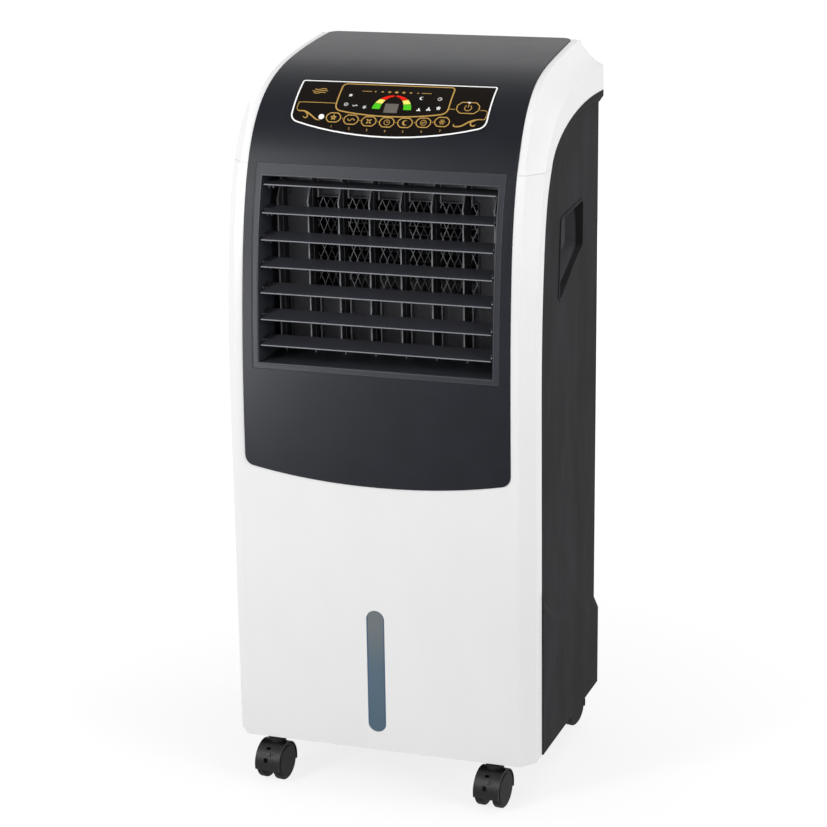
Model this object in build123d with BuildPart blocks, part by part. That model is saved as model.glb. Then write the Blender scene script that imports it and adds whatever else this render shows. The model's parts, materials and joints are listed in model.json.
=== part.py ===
from build123d import *
import math
import os

os.makedirs("parts", exist_ok=True)

# Evaporative cooler on casters. Millimetres, X to the right, the front faces -Y, the floor is Z = 0.
# Depths are measured backwards from the flat lower front, and heights from the floor.

# ---- driving dimensions ----
front_y = -133.0  # the lower front's place in Y, which puts the origin under the middle
half_width = 180.0
top_half_width = 184.7
top_depth = 283.0
base_depth = 270.5
base_z = 52.8
top_z = 834.3
seam_z = 723.0
side_front_depth = 40.0  # where the white front meets the dark sides
side_end_z = 778.0  # where that edge meets the rear
wall = 2.6
seam_gap = 0.25

# front panel, its opening and the white rim around it
panel_half = 156.0
panel_bottom_z = 370.0
panel_proud = 1.2
panel_thick = 2.2
rim_width = 9.3
rim_ledge = 6.0
front_half = panel_half + rim_width
bevel_depth = 18.0
bend_start_z = 400.0

# air outlet
border_half = 144.0
border_low_z = 497.5
border_high_z = 724.0
outlet_half = 136.0
outlet_low_z = 504.5
outlet_high_z = 710.4
duct_end_depth = 95.0

# louvres and vanes
louvre_edges = [700.8, 670.4, 641.1, 611.5, 582.5, 552.6, 523.6]
louvre_tilts = [3.0, 9.0, 11.0, 13.0, 15.0, 16.0, 15.0]
louvre_half = 133.8
louvre_chord = 26.0
louvre_thick = 1.9
louvre_pin_r = 1.5
louvre_crank = 6.0
crank_rise = 11.0
vane_count = 8
vane_pitch = 36.0
vane_lead_depth = 46.0
vane_chord = 28.0
vane_thick = 1.6
vane_low_z = 511.0
vane_high_z = 705.0
vane_pin_r = 1.5
vane_crank = 8.0
pin_play = 0.05
link_play = 0.35

# controls on the bend
key_count = 7
key_pitch = 20.9
key_width = 18.0
key_height = 13.4
key_row_z = 768.2
key_proud = 0.5
key_gap = 0.3
power_x = 88.0
power_z = 784.5
power_width = 27.0
power_height = 17.0
label_thick = 0.8

# blower
fan_depth = 160.0
fan_z = 606.0
fan_r = 54.0
fan_half = 100.0
scroll_half = 120.0
scroll_r = 69.0
shaft_r = 4.0
motor_long = 26.0

# water tank
tank_half = 160.0
tank_low_z = 71.5
tank_high_z = 238.0
tank_front_depth = 66.0
tank_wall = 2.5

# intake at the rear
intake_half = 150.0
intake_low_z = 280.0
intake_high_z = 750.0

# water level slot in the front
slot_x = -4.5
slot_low_z = 75.0
slot_high_z = 223.0
slot_wide = 21.6
slot_mid_z = (slot_low_z + slot_high_z) / 2

# casters
wheel_r = 22.0
hood_r = 23.8
caster_trail = 5.0
front_caster = (133.0, 11.0)
rear_caster = (149.0, 260.5)
front_swivel = 6.0
rear_swivel = 12.0
stem_r = 4.0

lean = (top_depth - base_depth) / (side_end_z - base_z)


def export(builder, name):
    """Label a finished piece and write it."""
    builder.part.label = name
    export_step(builder.part, f"parts/{name}.step")


def rear_depth(height):
    """Depth of the leaning rear wall at a height."""
    return base_depth + lean * (height - base_z)


def lean_plane(inset=0.0):
    """The plane of the leaning rear wall, or one set in from it, facing the rear."""
    return Plane(
        origin=(0, front_y + base_depth - inset, base_z), x_dir=(1, 0, 0), z_dir=(0, 1, -lean)
    )


def front_plane(depth=0.0):
    """A plane facing the front: local x is X, local y is the height."""
    return Plane(origin=(0, front_y + depth, 0), x_dir=(1, 0, 0), z_dir=(0, -1, 0))


def side_plane(x=0.0):
    """A plane facing +X: local x is the depth, local y is the height."""
    return Plane(origin=(x, front_y, 0), x_dir=(0, 1, 0), z_dir=(1, 0, 0))


def level_plane(height):
    """A level plane: local x is X, local y is the depth."""
    return Plane(origin=(0, front_y, height), x_dir=(1, 0, 0), z_dir=(0, 0, 1))


def fan_plane(angle):
    """A plane through the rear end of the seam, turned up from level by an angle."""
    turn = math.radians(angle)
    return Plane(
        origin=(0, front_y + top_depth, seam_z),
        x_dir=(1, 0, 0),
        z_dir=(0, -math.sin(turn), -math.cos(turn)),
    )


def mirrored(points):
    """The same points on the left, in reverse order."""
    return [(-x, y) for x, y in reversed(points)]


# ---- the three side curves, as depth and height ----
# the bend of the front panel and its rim
front_curve = Spline(
    (0, bend_start_z),
    (1.3, 494),
    (7.6, 596),
    (24, 694),
    (51, 756),
    (96.8, 799.4),
    (173.3, 822.2),
    (top_depth, top_z),
    tangents=((0, 1), (1, 0.09)),
)
# the crease between the bevel and the side band
crease_curve = Spline(
    (bevel_depth, bend_start_z),
    (20.4, 536),
    (30, 633),
    (49, 706),
    (73, 750),
    (120, 785),
    (214, 802),
    (top_depth, 806.5),
    tangents=((0, 1), (1, 0.05)),
)
# the edge between white and dark
edge_curve = Spline(
    (side_front_depth, bend_start_z),
    (42.8, 553),
    (52.4, 639),
    (69, 702),
    (96, 739),
    (151, 764),
    (227, 776),
    (top_depth, side_end_z),
    tangents=((0, 1), (1, 0.01)),
)


def point_where(curve, measure, value):
    """The point of a side curve at which a rising measure of it reaches a value."""
    low, high = 0.0, 1.0
    for _ in range(40):
        middle = (low + high) / 2
        if measure(curve @ middle) < value:
            low = middle
        else:
            high = middle
    return curve @ low


def at_height(curve, height):
    """Depth of a side curve at a height."""
    if height <= bend_start_z:
        return (curve @ 0).X
    return point_where(curve, lambda p: p.Y, height).X


def at_angle(curve, angle):
    """Distance of a side curve from the rear end of the seam, along a plane turned up by an angle."""
    point = point_where(
        curve, lambda p: math.degrees(math.atan2(p.Y - seam_z, max(top_depth - p.X, 1e-6))), angle
    )
    return math.hypot(point.X - top_depth, point.Y - seam_z)


def offset_front(distance):
    """The front curve moved out by a distance along its normal."""
    points = []
    for i in range(13):
        along = front_curve % (i / 12)
        points.append(front_curve @ (i / 12) + Vector(-along.Y, along.X) * distance)
    return Spline(*points, tangents=(front_curve % 0, front_curve % 1))


def front_point(height, out=0.0):
    """Depth and height of a point of the front curve, moved out along the normal, and its slope."""
    low, high = 0.0, 1.0
    for _ in range(40):
        middle = (low + high) / 2
        if (front_curve @ middle).Y < height:
            low = middle
        else:
            high = middle
    along = front_curve % low
    point = front_curve @ low + Vector(-along.Y, along.X) * out
    return point.X, point.Y, math.degrees(math.atan2(along.Y, along.X))


def band_tool(outer, inner, low_z):
    """The layer between two offsets of the front curve, from a height upwards, all across."""
    with BuildPart() as tool:
        with BuildSketch(side_plane()):
            with BuildLine():
                front = offset_front(outer)
                back = offset_front(inner)
                Line((-outer, low_z), front @ 0)
                Line((-inner, low_z), back @ 0)
                Line((-outer, low_z), (-inner, low_z))
                Line(front @ 1, back @ 1)
            make_face()
        extrude(amount=half_width + 10, both=True)
    return tool.part


def panel_outline(grow=0.0):
    """Draw the front panel's outline, seen from the front and open at the top."""
    side = panel_half + grow
    low = panel_bottom_z - grow
    roof = top_z + 30
    corner = Vector(side - 11, low + 13.5)
    with BuildLine() as outline:
        right = Spline(
            (side, low + 27),
            (side - 1.6, 725),
            (side - 3.5, 799.4),
            (side - 5.7, 822.2),
            (side - 9, top_z),
            tangents=((0, 1), (-0.75, 0.66)),
        )
        Spline(corner, (side, low + 27), tangents=((1, 0.2), (0, 1)))
        Spline((0, low), corner, tangents=((1, 0), (1, 0.2)))
        Polyline(right @ 1, (side - 9, roof), (0, roof))
        mirror(about=Plane.YZ)
    make_face(outline.edges())


def panel_side(height):
    """Half width of the front panel at a height of the bend."""
    return panel_half - 1.6 - 7.4 * max(0.0, (height - 725) / (top_z - 725)) ** 1.9


# ---- cutting tools shared by the white shells ----
with BuildPart() as rebate_tool:
    add(band_tool(20, -(panel_thick - panel_proud) - 0.05, panel_bottom_z - 20))
    with BuildSketch(front_plane(-30)):
        panel_outline(0.4)
    extrude(amount=-(top_depth + 60), mode=Mode.INTERSECT)

with BuildPart() as through_tool:
    with BuildSketch(front_plane(-30)):
        panel_outline(-rim_ledge)
    extrude(amount=-(top_depth + 25))


# ---- white front shell: a channel around the front and the front of both sides ----
def channel_section(height):
    """The channel's level section."""
    front = at_height(front_curve, height)
    crease = at_height(crease_curve, height)
    end = at_height(edge_curve, height)
    outer = [(half_width, end), (half_width, crease), (front_half, front)]
    inner = [
        (front_half - 1.1, front + wall),
        (half_width - wall, crease + 1.1),
        (half_width - wall, end),
    ]
    with BuildSketch(level_plane(height)) as section:
        with BuildLine():
            Polyline(*outer, *mirrored(outer), *mirrored(inner), *inner, close=True)
        make_face()
    return section.sketch


with BuildPart() as front_shell:
    add(channel_section(base_z))
    add(channel_section(bend_start_z))
    loft(ruled=True)
    for height in (bend_start_z, 418, 450, 500, 545, 585, 620, 655, 690, seam_z - seam_gap):
        add(channel_section(height))
    loft()
    with BuildSketch(front_plane(-5)):
        with Locations((slot_x, slot_mid_z)):
            SlotOverall(slot_high_z - slot_low_z, slot_wide, rotation=90)
    extrude(amount=-20, mode=Mode.SUBTRACT)
    add(rebate_tool.part, mode=Mode.SUBTRACT)
    add(through_tool.part, mode=Mode.SUBTRACT)
export(front_shell, "front_shell")


# ---- white upper frame: rim, hollow bevel and side band, swept over the bend ----
def frame_section(angle):
    """Right-hand section of the upper frame, on a plane turned up from the seam."""
    turn = math.sin(math.radians(angle))
    front = at_angle(front_curve, angle)
    crease = at_angle(crease_curve, angle)
    end = at_angle(edge_curve, angle)
    swell = (top_half_width - half_width) * angle / 90
    rim = Vector(panel_side(seam_z + front * turn) + rim_width, front)
    corner = Vector(half_width + swell * 0.85, crease)
    foot = Vector(half_width + swell, end)
    across = (corner - rim).normalized()
    out = Vector(-across.Y, across.X)
    if out.X < 0:
        out = out * -1
    sag = 0.3 + 3.2 * (angle / 90) ** 0.7
    middle = (rim + corner) / 2 - out * sag
    inner_rim = Vector(rim.X - 1.1, front - wall)
    inner_corner = Vector(corner.X - wall, crease - 1.1)
    with BuildSketch(fan_plane(angle)) as section:
        with BuildLine():
            Line((panel_half - 16, front), rim)
            ThreePointArc(rim, middle, corner)
            Polyline(corner, foot, (foot.X - wall, end), inner_corner)
            ThreePointArc(inner_corner, middle - out * wall, inner_rim)
            Polyline(inner_rim, (panel_half - 16, front - wall), (panel_half - 16, front))
        make_face()
    return section.sketch


with BuildPart() as top_frame:
    for angle in (0, 10, 22, 33, 46, 60, 75, 90):
        add(frame_section(angle))
    loft()
    mirror(about=Plane.YZ)
    rear_rim = (panel_side(top_z) + rim_width, top_z)
    rear_corner = (half_width + 0.85 * (top_half_width - half_width), 806.5)
    rear_mid = ((rear_rim[0] + rear_corner[0]) / 2 - 2.5, (rear_rim[1] + rear_corner[1]) / 2 - 2.5)
    with BuildSketch(front_plane(top_depth - wall)):
        with BuildLine():
            Line((0, top_z), rear_rim)
            ThreePointArc(rear_rim, rear_mid, rear_corner)
            Polyline(rear_corner, (top_half_width, side_end_z), (0, side_end_z))
            mirror(about=Plane.YZ)
        make_face()
    extrude(amount=-wall)
    add(rebate_tool.part, mode=Mode.SUBTRACT)
    add(through_tool.part, mode=Mode.SUBTRACT)
export(top_frame, "top_frame")


# ---- controls: the places of the keys on the bend ----
def bend_plane(x, height, out=0.0):
    """A plane on the bend of the front panel, facing outwards: local x is X, local y runs up the bend."""
    depth, level, slope = front_point(height, out)
    turn = math.radians(slope)
    return Plane(
        origin=(x, front_y + depth, level),
        x_dir=(1, 0, 0),
        z_dir=(0, -math.sin(turn), math.cos(turn)),
    )


key_places = []
for i in range(key_count):
    key_x = (i - (key_count - 1) / 2) * key_pitch
    key_places.append((key_x, key_row_z + 0.00065 * key_x**2, key_width, key_height))
key_places.append((power_x, power_z, power_width, power_height))
label_top = panel_proud + label_thick
key_back = 4.0


def key_outline(width, height, grow=0.0):
    """Draw a key: a rectangle with cut corners."""
    half_x = width / 2 + grow
    half_y = height / 2 + grow
    cut = 0.3 * height
    corners = [
        (half_x, half_y - cut),
        (half_x - cut, half_y),
        (cut - half_x, half_y),
        (-half_x, half_y - cut),
        (-half_x, cut - half_y),
        (cut - half_x, -half_y),
        (half_x - cut, -half_y),
        (half_x, cut - half_y),
    ]
    Polygon(*corners, align=None)


with BuildPart() as key_holes:
    for x, height, width, tall in key_places:
        with BuildSketch(bend_plane(x, height, 8)):
            key_outline(width, tall, key_gap)
        extrude(amount=-16)

window_x, window_z = 0.5, 781.7
window_width, window_tall = 15.5, 12.5
with BuildPart() as window_hole:
    with BuildSketch(bend_plane(window_x, window_z, 8)):
        Rectangle(window_width + 0.3, window_tall + 0.3)
    extrude(amount=-16)

# ---- dark front panel ----
with BuildPart() as fascia:
    add(band_tool(panel_proud, panel_proud - panel_thick, panel_bottom_z - 20))
    with BuildSketch(front_plane(-30)):
        panel_outline()
    extrude(amount=-(top_depth + 60), mode=Mode.INTERSECT)
    with BuildSketch(level_plane(panel_bottom_z - 30)):
        with BuildLine():
            Polyline((0, -30), (200, -30), (200, top_depth - 14), (149, top_depth - 14))
            ThreePointArc((149, top_depth - 14), (145.5, top_depth - 4.5), (136, top_depth))
            Line((136, top_depth), (0, top_depth))
            mirror(about=Plane.YZ)
        make_face()
    extrude(amount=600, mode=Mode.INTERSECT)
    with BuildSketch(front_plane(-30)):
        with Locations((0, (border_low_z + border_high_z) / 2)):
            Rectangle(2 * border_half + 0.4, border_high_z - border_low_z + 0.4)
    extrude(amount=-120, mode=Mode.SUBTRACT)
    add(key_holes.part, mode=Mode.SUBTRACT)
export(fascia, "fascia")

# ---- printed label over the bend, with its display window ----
with BuildPart() as control_overlay:
    add(band_tool(label_top, panel_proud + 0.02, bend_start_z - 10))
    with BuildSketch(front_plane(-30)):
        with BuildLine():
            Polyline((-114, 768), (-113.5, 806), (113.5, 806), (114, 768))
            ThreePointArc((114, 768), (0, 754.5), (-114, 768))
        make_face()
        lower = vertices().group_by(Axis.Y)[0]
        fillet(lower, 9)
    extrude(amount=-(top_depth + 60), mode=Mode.INTERSECT)
    add(key_holes.part, mode=Mode.SUBTRACT)
    add(window_hole.part, mode=Mode.SUBTRACT)
export(control_overlay, "control_overlay")

with BuildPart() as display_window:
    add(band_tool(label_top - 0.1, panel_proud + 0.02, bend_start_z - 10))
    with BuildSketch(bend_plane(window_x, window_z, 8)):
        Rectangle(window_width, window_tall)
    extrude(amount=-16, mode=Mode.INTERSECT)
export(display_window, "display_window")

key_names = [f"key_{i + 1}" for i in range(key_count)] + ["power_key"]
for name, (x, height, width, tall) in zip(key_names, key_places):
    with BuildPart() as key:
        with BuildSketch(bend_plane(x, height, label_top + key_proud)):
            key_outline(width, tall)
        extrude(amount=-(label_top + key_proud + key_back))
        fillet(key.faces().sort_by(Axis((0, 0, 0), bend_plane(x, height).z_dir))[-1].edges(), 0.4)
        with BuildSketch(bend_plane(x, height, -key_back)):
            key_outline(width, tall, 1.2)
        extrude(amount=1.2)
    export(key, name)

board_drop = 12.0
with BuildPart() as control_board:
    with BuildSketch(bend_plane(0, 780, -board_drop)):
        RectangleRounded(210, 46, 3)
    extrude(amount=-1.6)
    with BuildSketch(bend_plane(0, 780, -board_drop)):
        with GridLocations(194, 34, 2, 2):
            Circle(2.5)
    extrude(amount=6)
export(control_board, "control_board")

# ---- air outlet: bezel and duct ----
outlet_mid_z = (outlet_low_z + outlet_high_z) / 2
outlet_tall = outlet_high_z - outlet_low_z
duct_wall = 2.4


def louvre_pivot(edge_z, tilt):
    """Depth and height of a louvre's pivot, half way along its chord."""
    turn = math.radians(tilt)
    return (
        at_height(front_curve, edge_z) + louvre_chord / 2 * math.cos(turn),
        edge_z + louvre_chord / 2 * math.sin(turn),
    )


def crank_pin(pivot):
    """Depth and height of the crank pin at a louvre's right-hand end."""
    turn = math.radians(crank_rise)
    return pivot[0] + louvre_crank * math.cos(turn), pivot[1] + louvre_crank * math.sin(turn)


louvre_pivots = [louvre_pivot(z, tilt) for z, tilt in zip(louvre_edges, louvre_tilts)]
louvre_cranks = [crank_pin(pivot) for pivot in louvre_pivots]
vane_pivot_depth = vane_lead_depth + vane_chord / 2
vane_places = [(i - (vane_count - 1) / 2) * vane_pitch for i in range(vane_count)]

with BuildPart() as louvre_surround:
    add(band_tool(panel_proud - 0.3, panel_proud - panel_thick - 0.6, bend_start_z - 10))
    with BuildSketch(front_plane(-30)):
        with Locations((0, (border_low_z + border_high_z) / 2)):
            Rectangle(2 * border_half, border_high_z - border_low_z)
    extrude(amount=-150, mode=Mode.INTERSECT)
    with BuildSketch(front_plane(duct_end_depth)):
        with Locations((0, outlet_mid_z)):
            Rectangle(2 * (outlet_half + duct_wall), outlet_tall + 2 * duct_wall)
    extrude(amount=duct_end_depth + 20)
    add(band_tool(60, panel_proud - 0.3, bend_start_z - 10), mode=Mode.SUBTRACT)
    with BuildSketch(front_plane(-30)):
        with Locations((0, outlet_mid_z)):
            Rectangle(2 * outlet_half, outlet_tall)
    extrude(amount=-200, mode=Mode.SUBTRACT)
    with BuildSketch(side_plane()):
        with Locations(*louvre_pivots):
            Circle(louvre_pin_r + pin_play)
    extrude(amount=half_width, both=True, mode=Mode.SUBTRACT)
    with BuildSketch(level_plane(border_low_z)):
        with Locations(*[(x, vane_pivot_depth) for x in vane_places]):
            Circle(vane_pin_r + pin_play)
    extrude(amount=border_high_z - border_low_z, mode=Mode.SUBTRACT)
export(louvre_surround, "louvre_surround")

# ---- louvres ----
leader_louvre = len(louvre_edges) // 2
arm_places = [3 - louvre_half, 8 - louvre_half, louvre_half - 5]
for i, (depth, height) in enumerate(louvre_pivots):
    turn = math.radians(louvre_tilts[i])
    blade_plane = Plane(
        origin=(0, front_y + depth, height),
        x_dir=(0, math.cos(turn), math.sin(turn)),
        z_dir=(1, 0, 0),
    )
    with BuildPart() as louvre:
        with BuildSketch(blade_plane):
            RectangleRounded(louvre_chord, louvre_thick, 0.9)
        extrude(amount=louvre_half, both=True)
        for side in (1, -1):
            with BuildSketch(blade_plane.offset(side * (louvre_half - 4))):
                Circle(louvre_pin_r)
            extrude(amount=side * (outlet_half + duct_wall - 0.2 - louvre_half + 4))
        with BuildSketch(side_plane(louvre_half)):
            with Locations(louvre_cranks[i]):
                Circle(1.2)
        extrude(amount=outlet_half - louvre_half - 0.25)
        with BuildSketch(side_plane(louvre_half - 1.5)):
            with Locations((depth, height)):
                SlotOverall(2 * louvre_crank + 4, 4.4, rotation=crank_rise)
        extrude(amount=1.5)
        for along in arm_places:
            with BuildSketch(blade_plane.offset(along)):
                with Locations((-5, -3.0)):
                    Trapezoid(8, 4.6, 60, rotation=180)
            extrude(amount=1.6)
    export(louvre, f"louvre_{i + 1}")

with BuildPart() as louvre_link:
    with BuildSketch(side_plane(louvre_half + 0.55)):
        with BuildLine():
            Polyline(*louvre_cranks)
        trace(line_width=3.6)
        with Locations(*louvre_cranks):
            Circle(2.6)
        for i, pin in enumerate(louvre_cranks):
            with Locations(pin):
                Circle(1.2 + (pin_play if i == leader_louvre else link_play), mode=Mode.SUBTRACT)
    extrude(amount=1.2)
export(louvre_link, "louvre_link")

# ---- vanes ----
leader_vane = vane_count // 2
for i, x in enumerate(vane_places):
    lead = vane_lead_depth
    with BuildPart() as vane:
        with BuildSketch(side_plane(x)):
            Polygon(
                (lead, vane_low_z),
                (lead + vane_chord, vane_low_z),
                (lead + vane_chord, vane_high_z),
                (lead + 11, vane_high_z),
                (lead + 6.5, vane_high_z - 12),
                (lead - 1.4, vane_high_z - 25),
                (lead, vane_high_z - 29),
                align=None,
            )
        extrude(amount=vane_thick / 2, both=True)
        with BuildSketch(level_plane(outlet_low_z - duct_wall + 0.3)):
            with Locations((x, vane_pivot_depth)):
                Circle(vane_pin_r)
        extrude(amount=outlet_tall + 2 * duct_wall - 0.6)
        with BuildSketch(level_plane(vane_low_z - 2)):
            with Locations((x, vane_pivot_depth)):
                Circle(2.8)
        extrude(amount=3)
        with BuildSketch(level_plane(vane_high_z - 1)):
            with Locations((x, vane_pivot_depth + vane_crank)):
                Circle(1.2)
        extrude(amount=4.8)
    export(vane, f"vane_{i + 1}")

with BuildPart() as vane_link:
    with BuildSketch(level_plane(vane_high_z + 1.4)):
        with Locations((0, vane_pivot_depth + vane_crank)):
            SlotOverall(vane_pitch * (vane_count - 1) + 5.2, 4.4)
        for i, x in enumerate(vane_places):
            with Locations((x, vane_pivot_depth + vane_crank)):
                Circle(1.2 + (pin_play if i == leader_vane else link_play), mode=Mode.SUBTRACT)
    extrude(amount=1.5)
export(vane_link, "vane_link")

# ---- fixed grille and mesh behind the vanes ----
grille_depth = 84.0
grille_thick = 4.0
window_low_z = 576.0
window_high_z = 679.0
window_half = 96.0
rim_proud = 3.5
rib_proud = 6.5
rib_wide = 2.4
window_mid_z = (window_low_z + window_high_z) / 2
window_tall = window_high_z - window_low_z
with BuildPart() as inner_grille:
    with BuildSketch(front_plane(grille_depth)):
        with Locations((0, outlet_mid_z)):
            Rectangle(2 * outlet_half - 0.4, outlet_tall - 0.4)
    extrude(amount=-grille_thick)
    with BuildSketch(front_plane(grille_depth - rim_proud)):
        with Locations((0, window_mid_z)):
            Rectangle(2 * window_half + 3, window_tall + 3)
    extrude(amount=-rim_proud)
    for low_z, high_z in ((outlet_low_z + 2, window_low_z), (window_high_z, vane_high_z)):
        with BuildSketch(front_plane(grille_depth - rib_proud)):
            with Locations(*[(x, (low_z + high_z) / 2) for x in vane_places]):
                Rectangle(rib_wide, high_z - low_z)
        extrude(amount=-rib_proud)
    with BuildSketch(front_plane(grille_depth - 20)):
        with Locations((0, window_mid_z)):
            Rectangle(2 * window_half, window_tall)
        with Locations(*[(x + 4, window_low_z - 1) for x in vane_places[1:-1]]):
            Rectangle(2.4, 4)
    extrude(amount=-40, mode=Mode.SUBTRACT)
export(inner_grille, "inner_grille")

diamond_wide, diamond_tall = 8.8, 20.0
strand_share = 0.11
hole_wide = diamond_wide / 2 * (1 - strand_share)
hole_tall = diamond_tall / 2 * (1 - strand_share)
with BuildPart() as outlet_mesh:
    with BuildSketch(front_plane(grille_depth + grille_thick + 0.05)):
        with Locations((0, window_mid_z)):
            Rectangle(2 * window_half + 12, window_tall + 20)
            for columns, rows in ((23, 5), (22, 6)):
                with GridLocations(diamond_wide, diamond_tall, columns, rows):
                    Polygon(
                        (hole_wide, 0),
                        (0, hole_tall),
                        (-hole_wide, 0),
                        (0, -hole_tall),
                        align=None,
                        mode=Mode.SUBTRACT,
                    )
    extrude(amount=-1.2)
export(outlet_mesh, "outlet_mesh")

# ---- dark shell: both sides and the leaning rear wall ----
rear_wall = 2.5
intake_mid_z = (intake_low_z + intake_high_z) / 2
bay_half = tank_half + 4
bay_low_z = tank_low_z - 0.5
bay_high_z = tank_high_z + 7
handle_depth = 20.0
handle_corners = [(118.5, 659), (208, 663.5), (206, 613), (168, 598), (108.5, 568)]
gland_place = (150.0, 262.0)
screw_places = [(x, z) for z in (66, 262, 764) for x in (-168, 168)]
screw_r = 2.0
# the raised lower side: its upper edge as depth and height
step_points = [(side_front_depth + 0.4, 257), (52, 239), (75, 221.5), (145, 195), (222, 176), (272.6, 162)]
step_fall = 13.0
swell_front = 1.5
swell_rear = 4.5


def handle_outline(grow=0.0):
    """The outline of a side handle, as depth and height."""
    with BuildSketch(mode=Mode.PRIVATE) as outline:
        Polygon(*handle_corners, align=None)
        fillet(outline.vertices(), 5)
        if grow:
            offset(amount=grow)
    return outline.sketch


def raised_side(fall):
    """The outline of the raised lower side, with its upper edge lowered."""
    points = [(depth, height - fall) for depth, height in step_points]
    last = rear_depth(points[-1][1]) - 0.02
    with BuildSketch(mode=Mode.PRIVATE) as outline:
        with BuildLine():
            Spline(*points[:-1], (last, points[-1][1]), tangents=((0.45, -1), (1, -0.27)))
            Polyline((last, points[-1][1]), (base_depth, base_z), (points[0][0], base_z), points[0])
        make_face()
    return outline.sketch


with BuildPart() as rear_shell:
    with BuildSketch(side_plane()):
        with BuildLine():
            add(edge_curve.moved(Location((seam_gap, -seam_gap, 0))))
            Polyline(
                edge_curve @ 0 + Vector(seam_gap, -seam_gap),
                (side_front_depth + seam_gap, base_z),
                (top_depth + 20, base_z),
                (top_depth + 20, side_end_z - seam_gap),
                edge_curve @ 1 + Vector(seam_gap, -seam_gap),
            )
        make_face()
    extrude(amount=half_width, both=True)
    split(bisect_by=lean_plane(), keep=Keep.BOTTOM)
    uprights = rear_shell.edges().filter_by(
        lambda e: e.length > 600 and e.center().Y > front_y + base_depth
    )
    fillet(uprights, 4)
    for side in (1, -1):
        run = base_depth - side_front_depth
        outer = Plane(
            origin=(side * (half_width + swell_front), front_y + side_front_depth, 0),
            x_dir=(side * (swell_rear - swell_front), run, 0),
            z_dir=(run, -side * (swell_rear - swell_front), 0),
        )
        with BuildSketch(side_plane(side * (half_width - 1))):
            add(raised_side(0))
        with BuildSketch(outer):
            add(raised_side(step_fall).moved(Location((-side_front_depth, 0, 0))))
        loft()
    for side in (1, -1):
        for depth in (136, 180, 230, top_depth):
            share = (depth - 125) / (top_depth - 125)
            roof = point_where(edge_curve, lambda p: p.X, depth).Y - 0.2
            drop = 14 * share
            out = half_width + (top_half_width - half_width) * share
            with BuildSketch(front_plane(depth)):
                Polygon(
                    (side * (half_width - 1), roof),
                    (side * out, roof),
                    (side * out, roof - drop * 0.5),
                    (side * half_width, roof - drop),
                    (side * (half_width - 1), roof - drop),
                    align=None,
                )
        loft()
    split(bisect_by=lean_plane(), keep=Keep.BOTTOM)
    with BuildSketch(side_plane()):
        Polygon(
            (-20, base_z - 20),
            (rear_depth(base_z - 20) - rear_wall, base_z - 20),
            (rear_depth(900) - rear_wall, 900),
            (-20, 900),
            align=None,
        )
    extrude(amount=half_width - rear_wall, both=True, mode=Mode.SUBTRACT)
    for side in (1, -1):
        with BuildSketch(side_plane(side * (half_width + 1.2))):
            add(handle_outline(3))
        extrude(amount=-side * 2)
        with BuildSketch(side_plane(side * half_width)):
            add(handle_outline(2))
        extrude(amount=-side * (handle_depth + 2.2))
        with BuildSketch(side_plane(side * (half_width + 2))):
            add(handle_outline())
        extrude(amount=-side * (handle_depth + 2), mode=Mode.SUBTRACT)
    with BuildSketch(front_plane(255)):
        with Locations((0, intake_mid_z)):
            RectangleRounded(2 * intake_half, intake_high_z - intake_low_z, 6)
        with Locations((0, (bay_low_z + bay_high_z) / 2)):
            RectangleRounded(2 * bay_half, bay_high_z - bay_low_z, 4)
        with Locations(gland_place):
            Circle(6)
        with Locations(*screw_places):
            Circle(screw_r + 0.1)
    extrude(amount=-60, mode=Mode.SUBTRACT)
export(rear_shell, "rear_shell")

# ---- screws of the rear wall ----
with BuildPart() as shell_screws:
    for x, height in screw_places:
        seat = rear_depth(height) + 0.1
        with BuildSketch(front_plane(seat)):
            with Locations((x, height)):
                Circle(4)
        extrude(amount=-2.4)
        with BuildSketch(front_plane(seat + 2.4)):
            with Locations((x, height)):
                Rectangle(5, 0.9)
                Rectangle(0.9, 5)
        extrude(amount=1.2, mode=Mode.SUBTRACT)
        with BuildSketch(front_plane(seat)):
            with Locations((x, height)):
                Circle(screw_r)
        extrude(amount=9)
export(shell_screws, "shell_screws")

with BuildPart() as cord_gland:
    seat = rear_depth(gland_place[1]) + 0.2
    with BuildSketch(front_plane(seat)):
        with Locations(gland_place):
            Circle(9)
    extrude(amount=-2.5)
    with BuildSketch(front_plane(seat)):
        with Locations(gland_place):
            Circle(5.9)
    extrude(amount=10)
    with BuildSketch(front_plane(seat - 20)):
        with Locations(gland_place):
            Circle(3.5)
    extrude(amount=-40, mode=Mode.SUBTRACT)
export(cord_gland, "cord_gland")

# ---- base pan with the tank's runners and the caster sockets ----
pan_low_z = base_z + 0.4
pan_thick = 3.2
socket_top_z = tank_low_z - 1.5
stem_places = []
for side in (-1, 1):
    for along, depth in (front_caster, rear_caster):
        stem_places.append((side * along, depth))
with BuildPart() as base_pan:
    with BuildSketch(level_plane(pan_low_z)):
        with BuildLine():
            side_x = half_width - wall - 0.4
            front_x = front_half - 1.5
            Polyline(
                (0, wall + 0.4),
                (front_x, wall + 0.4),
                (side_x, bevel_depth + 1.4),
                (side_x, base_depth - rear_wall - 0.4),
                (0, base_depth - rear_wall - 0.4),
            )
            mirror(about=Plane.YZ)
        make_face()
    extrude(amount=pan_thick)
    with BuildSketch(level_plane(pan_low_z)):
        with Locations(*stem_places):
            Circle(7)
    extrude(amount=socket_top_z - pan_low_z)
    with BuildSketch(level_plane(pan_low_z)):
        with Locations((-100, 165), (100, 165)):
            Rectangle(4, 190)
    extrude(amount=tank_low_z - 0.3 - pan_low_z)
    with BuildSketch(level_plane(pan_low_z - 5)):
        with Locations(*stem_places):
            Circle(stem_r + pin_play)
    extrude(amount=60, mode=Mode.SUBTRACT)
export(base_pan, "base_pan")

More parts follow.
